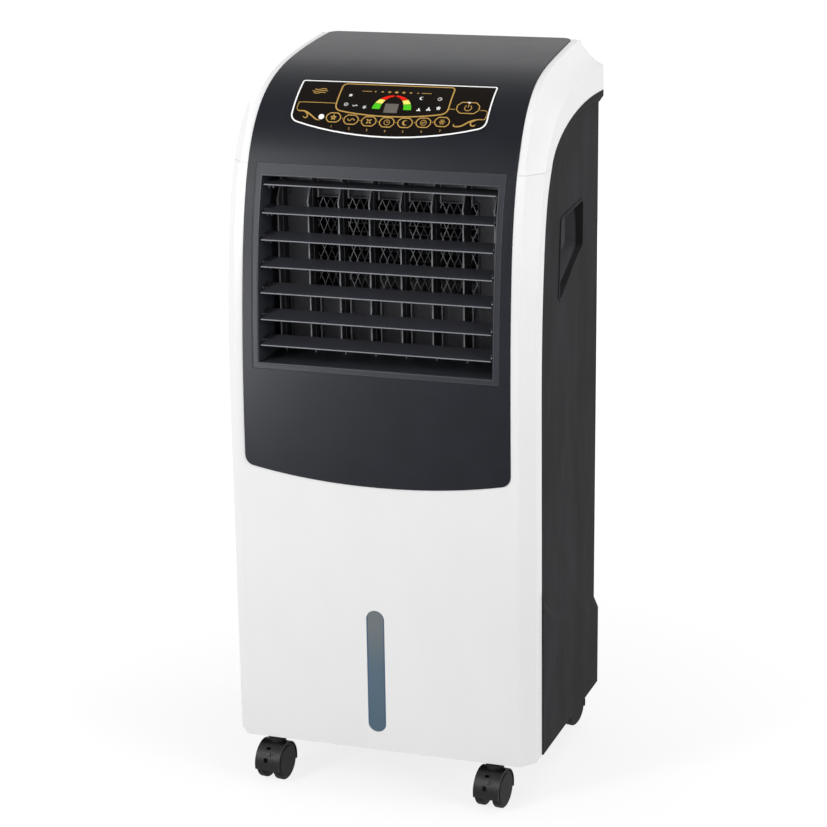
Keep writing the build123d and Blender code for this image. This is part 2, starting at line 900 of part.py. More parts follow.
# ---- water level window ----
with BuildPart() as level_window:
    with BuildSketch(front_plane(0.8)):
        with Locations((slot_x, slot_mid_z)):
            SlotOverall(slot_high_z - slot_low_z - 0.4, slot_wide - 0.4, rotation=90)
    extrude(amount=-3.6)
    with BuildSketch(front_plane(wall + 0.05)):
        with Locations((slot_x, slot_mid_z)):
            SlotOverall(slot_high_z - slot_low_z + 8, slot_wide + 8, rotation=90)
    extrude(amount=-1.8)
export(level_window, "level_window")

# ---- water tank, a drawer open at the top ----
grip_half, grip_low_z, grip_high_z, grip_deep = 50.0, 196.0, 226.0, 22.0
with BuildPart() as water_tank:
    with BuildSketch(side_plane()):
        Polygon(
            (tank_front_depth, tank_low_z),
            (rear_depth(tank_low_z) - 0.2, tank_low_z),
            (rear_depth(tank_high_z) - 0.2, tank_high_z),
            (tank_front_depth, tank_high_z),
            align=None,
        )
    extrude(amount=tank_half, both=True)
    with BuildSketch(side_plane()):
        Polygon(
            (tank_front_depth + tank_wall, tank_low_z + tank_wall),
            (rear_depth(tank_low_z) - 0.2 - tank_wall, tank_low_z + tank_wall),
            (rear_depth(tank_high_z) - 0.2 - tank_wall, tank_high_z + 1),
            (tank_front_depth + tank_wall, tank_high_z + 1),
            align=None,
        )
    extrude(amount=tank_half - tank_wall, both=True, mode=Mode.SUBTRACT)
    with BuildSketch(side_plane()):
        Polygon(
            (rear_depth(bay_low_z) - 3.2, bay_low_z + 0.5),
            (rear_depth(bay_low_z) - 0.2, bay_low_z + 0.5),
            (rear_depth(bay_high_z) - 0.2, bay_high_z - 0.5),
            (rear_depth(bay_high_z) - 3.2, bay_high_z - 0.5),
            align=None,
        )
    extrude(amount=bay_half - 0.6, both=True)
    plate_corners = water_tank.edges().filter_by(Axis.Y).filter_by(
        lambda e: e.length < 4 and abs(e.center().X) > bay_half - 1
    )
    fillet(plate_corners, 3.5)
    grip_front = rear_depth(grip_low_z) - grip_deep
    with BuildSketch(front_plane(grip_front - 2.5)):
        with Locations((0, (grip_low_z + grip_high_z) / 2)):
            Rectangle(2 * grip_half + 5, grip_high_z - grip_low_z + 5)
    extrude(amount=-(grip_deep + 1))
    with BuildSketch(front_plane(grip_front)):
        with Locations((0, (grip_low_z + grip_high_z) / 2)):
            RectangleRounded(2 * grip_half, grip_high_z - grip_low_z, 8)
    extrude(amount=-(grip_deep + 10), mode=Mode.SUBTRACT)
export(water_tank, "water_tank")

pump_x, pump_depth = 136.0, 225.0
hose_x, hose_depth, hose_top_z, hose_r = 168.0, 248.0, 746.5, 4.0
with BuildPart() as pump:
    with BuildSketch(level_plane(tank_low_z + tank_wall + 0.05)):
        with Locations((pump_x, pump_depth)):
            RectangleRounded(36, 44, 5)
    extrude(amount=46)
    with BuildSketch(level_plane(tank_low_z + tank_wall + 46)):
        with Locations((pump_x, pump_depth)):
            Circle(4)
    extrude(amount=tank_high_z - tank_low_z - tank_wall - 48)
export(pump, "pump")

# ---- intake: frame, pad, filter, grille cassette and water tray ----
pad_front, pad_rear = 236.0, 260.0
frame_half = intake_half + 8
with BuildPart() as inner_frame:
    with BuildSketch(front_plane(pad_front - 4)):
        with Locations((0, intake_mid_z)):
            Rectangle(2 * frame_half, intake_high_z - intake_low_z + 18)
    extrude(amount=-70)
    with BuildSketch(front_plane(pad_front - 0.5)):
        with Locations((0, intake_mid_z)):
            Rectangle(2 * intake_half + 3, intake_high_z - intake_low_z + 3)
    extrude(amount=-100, mode=Mode.SUBTRACT)
    with BuildSketch(front_plane(pad_front - 10)):
        with Locations((0, intake_mid_z)):
            Rectangle(2 * intake_half - 16, intake_high_z - intake_low_z - 16)
    extrude(amount=-40, mode=Mode.SUBTRACT)
    with BuildSketch(side_plane()):
        Polygon(
            (rear_depth(0) - rear_wall - 0.1, 0),
            (400, 0),
            (400, 900),
            (rear_depth(900) - rear_wall - 0.1, 900),
            align=None,
        )
    extrude(amount=half_width, both=True, mode=Mode.SUBTRACT)
    with BuildSketch(side_plane(frame_half + 5)):
        with Locations((hose_depth, hose_top_z)):
            Circle(hose_r + 0.3)
    extrude(amount=-20, mode=Mode.SUBTRACT)
export(inner_frame, "inner_frame")

tray_low_z = intake_high_z - 9
with BuildPart() as cooling_pad:
    with BuildSketch(front_plane(pad_front)):
        with Locations((0, (intake_low_z + tray_low_z) / 2)):
            Rectangle(2 * intake_half + 1, tray_low_z - intake_low_z - 1)
    extrude(amount=pad_front - pad_rear)
export(cooling_pad, "cooling_pad")

with BuildPart() as distribution_tray:
    with BuildSketch(level_plane(tray_low_z)):
        with Locations((0, (pad_front + pad_rear) / 2)):
            Rectangle(2 * intake_half, pad_rear - pad_front)
    extrude(amount=9)
    with BuildSketch(level_plane(tray_low_z + 1.5)):
        with Locations((0, (pad_front + pad_rear) / 2)):
            Rectangle(2 * intake_half - 4, pad_rear - pad_front - 4)
    extrude(amount=10, mode=Mode.SUBTRACT)
    with BuildSketch(level_plane(tray_low_z - 1)):
        with Locations((0, (pad_front + pad_rear) / 2)):
            with GridLocations(16, 8, 18, 2):
                Circle(1.5)
    extrude(amount=5, mode=Mode.SUBTRACT)
export(distribution_tray, "distribution_tray")

with BuildPart() as pump_hose:
    with BuildLine():
        FilletPolyline(
            (pump_x, front_y + pump_depth, tank_high_z + 1.5),
            (pump_x, front_y + pump_depth, tank_high_z + 14),
            (hose_x, front_y + hose_depth, tank_high_z + 26),
            (hose_x, front_y + hose_depth, hose_top_z),
            (intake_half + 1, front_y + hose_depth, hose_top_z),
            radius=7,
        )
    with BuildSketch(Plane(origin=(pump_x, front_y + pump_depth, tank_high_z + 1.5), z_dir=(0, 0, 1))):
        Circle(hose_r)
    sweep()
export(pump_hose, "pump_hose")

filter_thick = 2.0
cassette_front = pad_rear + 0.6 + filter_thick + 0.1
with BuildPart() as dust_filter:
    with BuildSketch(front_plane(pad_rear + 0.6)):
        with Locations((0, intake_mid_z)):
            Rectangle(2 * intake_half - 6, intake_high_z - intake_low_z - 8)
            with GridLocations(7, 0, 41, 1):
                Rectangle(4.6, intake_high_z - intake_low_z - 30, mode=Mode.SUBTRACT)
    extrude(amount=-filter_thick)
export(dust_filter, "dust_filter")

intake_slot_pitch = 16.0
with BuildPart() as rear_grille:
    with BuildSketch(front_plane(cassette_front)):
        with Locations((0, intake_mid_z)):
            RectangleRounded(2 * intake_half - 1.2, intake_high_z - intake_low_z - 1.2, 5.5)
    extrude(amount=-40)
    split(bisect_by=lean_plane(0.6), keep=Keep.BOTTOM)
    with BuildSketch(side_plane()):
        Polygon(
            (cassette_front - 1, intake_low_z + 5),
            (rear_depth(intake_low_z) - 3.4, intake_low_z + 5),
            (rear_depth(intake_high_z) - 3.4, intake_high_z - 5),
            (cassette_front - 1, intake_high_z - 5),
            align=None,
        )
    extrude(amount=intake_half - 5, both=True, mode=Mode.SUBTRACT)
    with BuildSketch(front_plane(cassette_front - 5)):
        with Locations((0, intake_mid_z)):
            with GridLocations(139, intake_slot_pitch, 2, 27):
                SlotOverall(128, 8)
    extrude(amount=-60, mode=Mode.SUBTRACT)
export(rear_grille, "rear_grille")

# ---- blower ----
scroll_wall = 2.0
inlet_r = 44.0
with BuildPart() as fan_scroll:
    for inset, mode in ((0.0, Mode.ADD), (scroll_wall, Mode.SUBTRACT)):
        with BuildSketch(side_plane()):
            with Locations((fan_depth, fan_z)):
                Circle(scroll_r - inset)
            Polygon(
                (duct_end_depth + 0.3 - inset * 3, outlet_low_z + inset),
                (fan_depth, fan_z - scroll_r + inset),
                (fan_depth, fan_z + scroll_r - inset),
                (duct_end_depth + 0.3 - inset * 3, outlet_high_z - inset),
                align=None,
            )
        extrude(amount=scroll_half - inset, both=True, mode=mode)
    with BuildSketch(side_plane()):
        with Locations((fan_depth, fan_z)):
            Circle(inlet_r)
    extrude(amount=scroll_half + 5, both=True, mode=Mode.SUBTRACT)
    with BuildSketch(side_plane(-scroll_half)):
        with Locations((fan_depth, fan_z)):
            with PolarLocations(inlet_r / 2, 3):
                Rectangle(inlet_r + 4, 6)
            Circle(10)
            Circle(shaft_r + pin_play, mode=Mode.SUBTRACT)
    extrude(amount=scroll_wall)
export(fan_scroll, "fan_scroll")

with BuildPart() as impeller:
    with BuildSketch(side_plane(-fan_half)):
        with Locations((fan_depth, fan_z)):
            Circle(fan_r)
            Circle(fan_r - 8, mode=Mode.SUBTRACT)
    extrude(amount=2)
    with BuildSketch(side_plane(fan_half - 2)):
        with Locations((fan_depth, fan_z)):
            Circle(fan_r)
            Circle(fan_r - 8, mode=Mode.SUBTRACT)
    extrude(amount=2)
    with BuildSketch(side_plane(-1.5)):
        with Locations((fan_depth, fan_z)):
            Circle(fan_r)
    extrude(amount=3)
    with BuildSketch(side_plane(-fan_half)):
        with Locations((fan_depth, fan_z)):
            with PolarLocations(fan_r - 4, 32):
                Rectangle(7.6, 1.2, rotation=35)
    extrude(amount=2 * fan_half)
    with BuildSketch(side_plane(-scroll_half - 4)):
        with Locations((fan_depth, fan_z)):
            Circle(shaft_r)
    extrude(amount=2 * scroll_half + 14)
    with BuildSketch(side_plane(-12)):
        with Locations((fan_depth, fan_z)):
            Circle(11)
    extrude(amount=24)
export(impeller, "impeller")

motor_r = 38.0
with BuildPart() as fan_motor:
    with BuildSketch(side_plane(scroll_half + 3.5)):
        with Locations((fan_depth, fan_z)):
            Circle(motor_r)
    extrude(amount=motor_long)
    fillet(fan_motor.edges().filter_by(GeomType.CIRCLE), 3)
    with BuildSketch(side_plane(scroll_half + 0.05)):
        with Locations((fan_depth, fan_z)):
            with PolarLocations(38, 3):
                Rectangle(34, 9)
    extrude(amount=5)
    with BuildSketch(side_plane(scroll_half)):
        with Locations((fan_depth, fan_z)):
            Circle(shaft_r + pin_play)
    extrude(amount=14, mode=Mode.SUBTRACT)
export(fan_motor, "fan_motor")

with BuildPart() as swing_motor:
    with BuildSketch(level_plane(outlet_high_z + duct_wall + 0.05)):
        with Locations((60, 78)):
            Circle(14)
    extrude(amount=12)
    with BuildSketch(level_plane(outlet_high_z + duct_wall + 0.05)):
        with Locations((60, 78)):
            RectangleRounded(42, 9, 4)
    extrude(amount=2)
export(swing_motor, "swing_motor")

# ---- casters: a hood that swivels, and a pair of wheels on one axle in it ----
hood_half = 15.5
web_half = 3.2
axle_r = 2.5
wheel_in = 6.5
wheel_out = 15.0
hood_skin = 1.3
hood_end_angle = 14.0
pocket_angles = ((52.0, 3.4), (16.5, 5.4))
lug_angle = 34.0
stem_top_z = socket_top_z - 0.8
neck_top_z = pan_low_z - 2.4
neck_r = 10.5


def caster_plane(place, swivel, along=0.0):
    """A plane across a caster's axle: first coordinate behind the stem, second the height."""
    turn = math.radians(swivel)
    axle = Vector(math.cos(turn), -math.sin(turn), 0)
    origin = Vector(place[0], front_y + place[1], 0) + axle * along
    return Plane(origin=origin, x_dir=(math.sin(turn), math.cos(turn), 0), z_dir=axle)


caster_names = ["front_left", "rear_left", "front_right", "rear_right"]
caster_turns = [front_swivel, rear_swivel, front_swivel, rear_swivel]
hub = (-caster_trail, wheel_r)
end_drop = math.radians(hood_end_angle)
front_end = (hub[0] - 40 * math.cos(end_drop), hub[1] - 40 * math.sin(end_drop))
rear_end = (hub[0] + 40 * math.cos(end_drop), hub[1] - 40 * math.sin(end_drop))
for name, place, swivel in zip(caster_names, stem_places, caster_turns):
    middle = caster_plane(place, swivel)
    with BuildPart() as hood:
        with BuildSketch(middle):
            with Locations(hub):
                Circle(hood_r)
        extrude(amount=hood_half, both=True)
        with BuildSketch(level_plane(wheel_r)):
            with Locations(place):
                Circle(neck_r)
        extrude(amount=neck_top_z - wheel_r)
        for side in (1, -1):
            with BuildSketch(caster_plane(place, swivel, side * web_half)):
                with Locations(hub):
                    Circle(hood_r - hood_skin)
            extrude(amount=side * 20, mode=Mode.SUBTRACT)
        with BuildSketch(middle):
            Polygon(hub, front_end, (hub[0], -60), rear_end, align=None)
            with Locations(hub):
                Circle(7, mode=Mode.SUBTRACT)
        extrude(amount=20, both=True, mode=Mode.SUBTRACT)
        with BuildSketch(middle):
            with Locations(hub):
                Circle(axle_r + pin_play)
        extrude(amount=20, both=True, mode=Mode.SUBTRACT)
        for angle, tall in pocket_angles:
            with BuildSketch(caster_plane(place, swivel, -1.5)):
                with Locations(hub):
                    with PolarLocations(hood_r - 1, 1, start_angle=180 - angle):
                        Rectangle(8, tall)
            extrude(amount=2.6, both=True, mode=Mode.SUBTRACT)
        with BuildSketch(caster_plane(place, swivel, 0.6)):
            with Locations(hub):
                with PolarLocations(hood_r, 1, start_angle=180 - lug_angle):
                    Rectangle(3.4, 4)
        extrude(amount=2.6, both=True)
        with BuildSketch(caster_plane(place, swivel, -4)):
            with Locations(hub):
                with PolarLocations(hood_r, 1, start_angle=180 - lug_angle):
                    Rectangle(1.8, 1.3)
        extrude(amount=10, both=True)
        with BuildSketch(level_plane(pan_low_z - 3)):
            with Locations(place):
                Circle(stem_r)
        extrude(amount=stem_top_z - pan_low_z + 3)
    export(hood, f"caster_hood_{name}")
    with BuildPart() as wheels:
        for side in (1, -1):
            with BuildSketch(caster_plane(place, swivel, side * wheel_in)):
                with Locations(hub):
                    Circle(wheel_r)
            extrude(amount=side * (wheel_out - wheel_in))
        fillet(wheels.edges().filter_by(GeomType.CIRCLE), 1.4)
        for side in (1, -1):
            with BuildSketch(caster_plane(place, swivel, side * wheel_out)):
                with Locations(hub):
                    Circle(wheel_r - 3)
            extrude(amount=side * 0.9, taper=40)
        with BuildSketch(middle):
            with Locations(hub):
                Circle(axle_r)
        extrude(amount=wheel_in + 2, both=True)
    export(wheels, f"caster_wheels_{name}")
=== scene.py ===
import json
import math

import bpy
import numpy as np
from mathutils import Matrix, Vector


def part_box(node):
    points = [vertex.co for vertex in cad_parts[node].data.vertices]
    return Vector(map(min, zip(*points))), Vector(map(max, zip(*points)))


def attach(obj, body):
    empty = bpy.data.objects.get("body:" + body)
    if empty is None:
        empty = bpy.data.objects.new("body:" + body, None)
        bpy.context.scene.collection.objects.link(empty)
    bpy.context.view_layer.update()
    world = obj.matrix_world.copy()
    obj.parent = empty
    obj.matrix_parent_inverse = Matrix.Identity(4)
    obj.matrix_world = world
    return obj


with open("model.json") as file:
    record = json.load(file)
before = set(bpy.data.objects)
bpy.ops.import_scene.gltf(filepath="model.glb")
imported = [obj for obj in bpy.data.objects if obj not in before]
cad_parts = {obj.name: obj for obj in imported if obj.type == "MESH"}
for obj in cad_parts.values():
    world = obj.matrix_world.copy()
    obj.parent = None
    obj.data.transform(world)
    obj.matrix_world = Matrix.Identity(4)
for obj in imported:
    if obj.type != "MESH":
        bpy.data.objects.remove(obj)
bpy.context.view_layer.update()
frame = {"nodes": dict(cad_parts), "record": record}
nodes = frame["nodes"]

mm = 0.001
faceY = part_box("front_shell")[0][1]  # the flat lower front, from which the camera's place is measured
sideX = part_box("rear_shell")[1][0]  # the side walls, from which the hand wells' place is measured


def linear(hexColour):
    # sRGB hex to linear: (c + 0.055) / 1.055 to the power 2.4, or c / 12.92 in the darks
    values = [int(hexColour[i:i + 2], 16) / 255 for i in (1, 3, 5)]
    return [c / 12.92 if c <= 0.04045 else ((c + 0.055) / 1.055) ** 2.4 for c in values] + [1.0]


def addNode(tree, kind, settings=None, links=None):
    # adds a node; settings are its properties or inputs, links join sockets to its inputs
    node = tree.nodes.new(kind)
    for name, value in (settings or {}).items():
        if isinstance(name, str) and hasattr(node, name):
            setattr(node, name, value)
        else:
            node.inputs[name].default_value = value
    for name, socket in (links or {}).items():
        tree.links.new(socket, node.inputs[name])
    return node


def newMaterial(name):
    material = bpy.data.materials.new(name)
    material.use_nodes = True
    tree = material.node_tree
    tree.nodes.clear()
    return material, tree


def mixColour(tree, amount, first, second, blend="MIX"):
    # the colour mix of two sockets or hex values; a mix node's inputs 0, 6 and 7 are its amount
    # and its two colours, and its output 2 is the mixed colour
    node = addNode(tree, "ShaderNodeMix", {"data_type": "RGBA", "blend_type": blend})
    for index, value in ((0, amount), (6, first), (7, second)):
        if isinstance(value, str):
            node.inputs[index].default_value = linear(value)
        elif isinstance(value, (int, float)):
            node.inputs[index].default_value = value
        else:
            tree.links.new(value, node.inputs[index])
    return node.outputs[2]


def mouldedPlastic(name, spec):
    # a slow drift of tone, clouds that the mould leaves, a fine spark-eroded grain and a soft gloss
    material, tree = newMaterial(name)
    coords = addNode(tree, "ShaderNodeTexCoord")
    place = coords.outputs["Object"]
    drift = addNode(tree, "ShaderNodeTexNoise", {"Scale": 1 / spec["driftSize"], "Detail": 3.0},
                    {"Vector": place})
    stretched = addNode(tree, "ShaderNodeMapping", {"Scale": (1, 1, spec.get("streak", 1.0))},
                        {"Vector": place})
    cloud = addNode(tree, "ShaderNodeTexNoise",
                    {"Scale": 1 / spec.get("cloudSize", spec["driftSize"] / 3), "Detail": 5.0,
                     "Roughness": 0.6}, {"Vector": stretched.outputs["Vector"]})
    grain = addNode(tree, "ShaderNodeTexNoise",
                    {"Scale": 1 / spec["grainSize"], "Detail": 2.0, "Roughness": 0.6},
                    {"Vector": place})
    # the noise keeps near its middle, so that stretch is spread out to the full range
    clouds = addNode(tree, "ShaderNodeMapRange", {"From Min": 0.35, "From Max": 0.65},
                     {"Value": cloud.outputs["Fac"]})
    tone = mixColour(tree, drift.outputs["Fac"], spec["dark"], spec["light"])
    tone = mixColour(tree, clouds.outputs["Result"],
                     mixColour(tree, spec.get("cloudDepth", 0.08), tone, "#000000"), tone)
    colour = mixColour(tree, grain.outputs["Fac"], tone,
                       mixColour(tree, 1.0, tone, spec["fleck"], "MULTIPLY"))
    if "edge" in spec:
        # faces that look forwards have their own tone: a painted highlight on thin front edges,
        # and deeper on the bezel's border, so that its inner walls stay paler: painted light
        facing = addNode(tree, "ShaderNodeSeparateXYZ", None, {"Vector": coords.outputs["Normal"]})
        paintedLightShare = addNode(tree, "ShaderNodeMapRange",
                       {"From Min": -spec["edgeFrom"], "From Max": -spec.get("edgeFull", 0.98),
                        "To Max": spec["edgeShare"]},
                       {"Value": facing.outputs["Y"]})
        colour = mixColour(tree, paintedLightShare.outputs["Result"], colour, spec["edge"])
    if "well" in spec:
        # the hand wells in both sides are painted paler, a painted light in their shaded hollows:
        # an oval region mirrored in X, with a soft edge in its outer 15 %
        axes = addNode(tree, "ShaderNodeSeparateXYZ", None, {"Vector": place})
        mirrored = addNode(tree, "ShaderNodeMath", {"operation": "ABSOLUTE"}, {0: axes.outputs["X"]})
        folded = addNode(tree, "ShaderNodeCombineXYZ", None,
                         {"X": mirrored.outputs[0], "Y": axes.outputs["Y"], "Z": axes.outputs["Z"]})
        offset = addNode(tree, "ShaderNodeVectorMath",
                         {"operation": "SUBTRACT", 1: spec["wellMiddle"]},
                         {0: folded.outputs["Vector"]})
        scaled = addNode(tree, "ShaderNodeVectorMath",
                         {"operation": "DIVIDE", 1: spec["wellHalf"]},
                         {0: offset.outputs["Vector"]})
        away = addNode(tree, "ShaderNodeVectorMath", {"operation": "LENGTH"},
                       {0: scaled.outputs["Vector"]})
        inside = addNode(tree, "ShaderNodeMapRange", {"From Min": 1.0, "From Max": 0.85},
                         {"Value": away.outputs["Value"]})
        colour = mixColour(tree, inside.outputs["Result"], colour, spec["well"])
    rough = addNode(tree, "ShaderNodeMapRange",
                    {"To Min": spec["roughness"] - spec["roughSpread"],
                     "To Max": spec["roughness"] + spec["roughSpread"]},
                    {"Value": cloud.outputs["Fac"]})
    bump = addNode(tree, "ShaderNodeBump",
                   {"Strength": spec["grainStrength"], "Distance": spec["grainDepth"]},
                   {"Height": grain.outputs["Fac"]})
    shader = addNode(tree, "ShaderNodeBsdfPrincipled",
                     {"IOR": spec.get("ior", 1.53), "Specular IOR Level": spec.get("specular", 0.5),
                      "Metallic": spec.get("metallic", 0.0)},
                     {"Base Color": colour, "Roughness": rough.outputs["Result"],
                      "Normal": bump.outputs["Normal"]})
    addNode(tree, "ShaderNodeOutputMaterial", None, {"Surface": shader.outputs["BSDF"]})
    return material


print("materials")
plastics = {
    # polished moulded ABS: bright, with a slight orange peel
    "whiteAbs": {"dark": "#F0F0F0", "light": "#F6F6F6", "fleck": "#FCFCFC", "driftSize": 160 * mm,
                 "cloudDepth": 0.02, "streak": 0.3, "grainSize": 1.6 * mm, "grainStrength": 0.05,
                 "grainDepth": 0.2 * mm, "roughness": 0.34, "roughSpread": 0.04},
    # satin moulded ABS of the front panel: blue-black with a broad cool sheen
    "charcoalAbs": {"dark": "#0E1016", "light": "#13161D", "fleck": "#DCDCE4", "driftSize": 90 * mm,
                    "cloudDepth": 0.12, "grainSize": 1 * mm, "grainStrength": 0.10,
                    "grainDepth": 0.2 * mm, "roughness": 0.30, "roughSpread": 0.04,
                    "specular": 0.14},
    # the same ABS on the outlet's bezel: a deeper tone on its forward faces, and paler walls
    # inside the opening, a painted light there
    "bezelAbs": {"dark": "#303237", "light": "#383A3F", "fleck": "#DCDCE4", "driftSize": 90 * mm,
                 "cloudDepth": 0.12, "grainSize": 1 * mm, "grainStrength": 0.10,
                 "grainDepth": 0.2 * mm, "roughness": 0.34, "roughSpread": 0.04, "specular": 0.16,
                 "edge": "#1F2228", "edgeFrom": 0.5, "edgeFull": 0.72, "edgeShare": 1.0},
    # spark-eroded ABS of the sides: matt, with the faint clouds of a big moulding
    "grainedAbs": {"dark": "#29292B", "light": "#39393B", "fleck": "#C8C8CC", "driftSize": 100 * mm,
                   "cloudSize": 40 * mm, "cloudDepth": 0.55, "streak": 0.28, "grainSize": 1.2 * mm,
                   "grainStrength": 0.3, "grainDepth": 0.3 * mm, "roughness": 0.78,
                   # the paler hand wells are painted light in their shaded hollows
                   "roughSpread": 0.06, "specular": 0.1, "well": "#4E4E51",
                   "wellMiddle": (sideX - 21 * mm, faceY + 160 * mm, 615 * mm),
                   "wellHalf": (12 * mm, 85 * mm, 85 * mm)},
    # moulded ABS of the louvres: satin and dark above, with a painted highlight on the front edges
    "louvreAbs": {"dark": "#34353A", "light": "#3E3F45", "fleck": "#E0E0E4", "driftSize": 50 * mm,
                  "grainSize": 0.9 * mm, "grainStrength": 0.1, "grainDepth": 0.2 * mm,
                  "roughness": 0.36, "roughSpread": 0.04, "specular": 0.35, "edge": "#8E9096",
                  "edgeFrom": 0.7, "edgeShare": 0.9},
    # the lip round the outlet: the same ABS, paler as a painted highlight along the lip
    "beadAbs": {"dark": "#383A3F", "light": "#424449", "fleck": "#E0E0E4", "driftSize": 50 * mm,
                "grainSize": 0.9 * mm, "grainStrength": 0.08, "grainDepth": 0.2 * mm,
                "roughness": 0.3, "roughSpread": 0.03, "specular": 0.3},
    # the same ABS on the bezel's outer bead, a shade deeper, so that it reads as a fine line
    "borderAbs": {"dark": "#2C2E34", "light": "#34363C", "fleck": "#E0E0E4", "driftSize": 50 * mm,
                  "grainSize": 0.9 * mm, "grainStrength": 0.08, "grainDepth": 0.2 * mm,
                  "roughness": 0.36, "roughSpread": 0.03, "specular": 0.3},
    # the same ABS on the vanes, thinner; a painted highlight makes the narrow front edges pale lines
    "vaneAbs": {"dark": "#1F2023", "light": "#27282B", "fleck": "#E0E0E4", "driftSize": 50 * mm,
                "grainSize": 0.9 * mm, "grainStrength": 0.1, "grainDepth": 0.2 * mm,
                "roughness": 0.38, "roughSpread": 0.03, "specular": 0.35, "edge": "#96989C",
                "edgeFrom": 0.7, "edgeShare": 0.9},
    # grey ABS of the fixed grille: a shade paler than what stands before it
    "grilleAbs": {"dark": "#7A7B80", "light": "#88898F", "fleck": "#D8D8DC", "driftSize": 60 * mm,
                  "grainSize": 1.2 * mm, "grainStrength": 0.15, "grainDepth": 0.2 * mm,
                  "roughness": 0.45, "roughSpread": 0.05, "specular": 0.35},
    # extruded nylon net: pale grey strands
    "netNylon": {"dark": "#74767A", "light": "#86888C", "fleck": "#D8D8DC", "driftSize": 30 * mm,
                 "grainSize": 0.8 * mm, "grainStrength": 0.1, "grainDepth": 0.1 * mm,
                 "roughness": 0.42, "roughSpread": 0.05},
    # unpainted ABS inside, dull
    "innerAbs": {"dark": "#2A2B2D", "light": "#333436", "fleck": "#D8D8DC", "driftSize": 60 * mm,
                 "grainSize": 1.2 * mm, "grainStrength": 0.15, "grainDepth": 0.2 * mm,
                 "roughness": 0.5, "roughSpread": 0.04, "specular": 0.35},
    # glass-filled nylon of the casters: near black, with a dry shine on the ridges
    "casterNylon": {"dark": "#0F0F11", "light": "#161618", "fleck": "#B8B8BC", "driftSize": 12 * mm,
                    "cloudDepth": 0.3, "grainSize": 0.9 * mm, "grainStrength": 0.3,
                    "grainDepth": 0.3 * mm, "roughness": 0.42, "roughSpread": 0.08,
                    "specular": 0.25},
    # the same nylon on the wheels, scuffed dull
    "wheelNylon": {"dark": "#0A0A0C", "light": "#101012", "fleck": "#B8B8BC", "driftSize": 12 * mm,
                   "cloudDepth": 0.3, "grainSize": 0.9 * mm, "grainStrength": 0.3,
                   "grainDepth": 0.3 * mm, "roughness": 0.55, "roughSpread": 0.08,
                   "specular": 0.14},
    # clear vinyl, slightly grey
    "greyVinyl": {"dark": "#C4C8CB", "light": "#D2D5D7", "fleck": "#F0F0F0", "driftSize": 30 * mm,
                  "grainSize": 1 * mm, "grainStrength": 0.04, "grainDepth": 0.1 * mm,
                  "roughness": 0.25, "roughSpread": 0.03, "ior": 1.49},
    # screen-printed polyester film: a warm near-black with a faint satin
    "labelFilm": {"dark": "#15110F", "light": "#1A1613", "fleck": "#E4E0DC", "driftSize": 30 * mm,
                  "grainSize": 0.7 * mm, "grainStrength": 0.04, "grainDepth": 0.1 * mm,
                  "roughness": 0.6, "roughSpread": 0.03, "specular": 0.03},
    # smoked acrylic over an unlit display: grey-brown
    "displayAcrylic": {"dark": "#5E5750", "light": "#6A635B", "fleck": "#ECE8E4",
                       "driftSize": 10 * mm, "grainSize": 0.8 * mm, "grainStrength": 0.03,
                       "grainDepth": 0.1 * mm, "roughness": 0.2, "roughSpread": 0.03, "ior": 1.49},
    # corrugated cellulose paper: warm and fibrous
    "padPaper": {"dark": "#A88A5C", "light": "#BDA070", "fleck": "#C8B088", "driftSize": 20 * mm,
                 "grainSize": 3 * mm, "grainStrength": 0.5, "grainDepth": 1 * mm, "roughness": 0.85,
                 "roughSpread": 0.05},
    # glass-epoxy board under green solder mask
    "boardEpoxy": {"dark": "#1F5A38", "light": "#2A6B45", "fleck": "#C8D8C8", "driftSize": 10 * mm,
                   "grainSize": 2 * mm, "grainStrength": 0.2, "grainDepth": 0.2 * mm,
                   "roughness": 0.4, "roughSpread": 0.06},
    # stoved enamel on the fan motor
    "motorEnamel": {"dark": "#3C4044", "light": "#484C50", "fleck": "#D8D8DC", "driftSize": 30 * mm,
                    "grainSize": 1 * mm, "grainStrength": 0.1, "grainDepth": 0.2 * mm,
                    "roughness": 0.35, "roughSpread": 0.05},
    # rolled, zinc-plated steel
    "platedSteel": {"dark": "#A9ABAD", "light": "#B8BABC", "fleck": "#E0E0E0", "driftSize": 10 * mm,
                    "grainSize": 0.6 * mm, "grainStrength": 0.15, "grainDepth": 0.1 * mm,
                    "roughness": 0.34, "roughSpread": 0.06, "metallic": 1.0, "ior": 1.5},
}
finish = {name: mouldedPlastic(name, spec) for name, spec in plastics.items()}


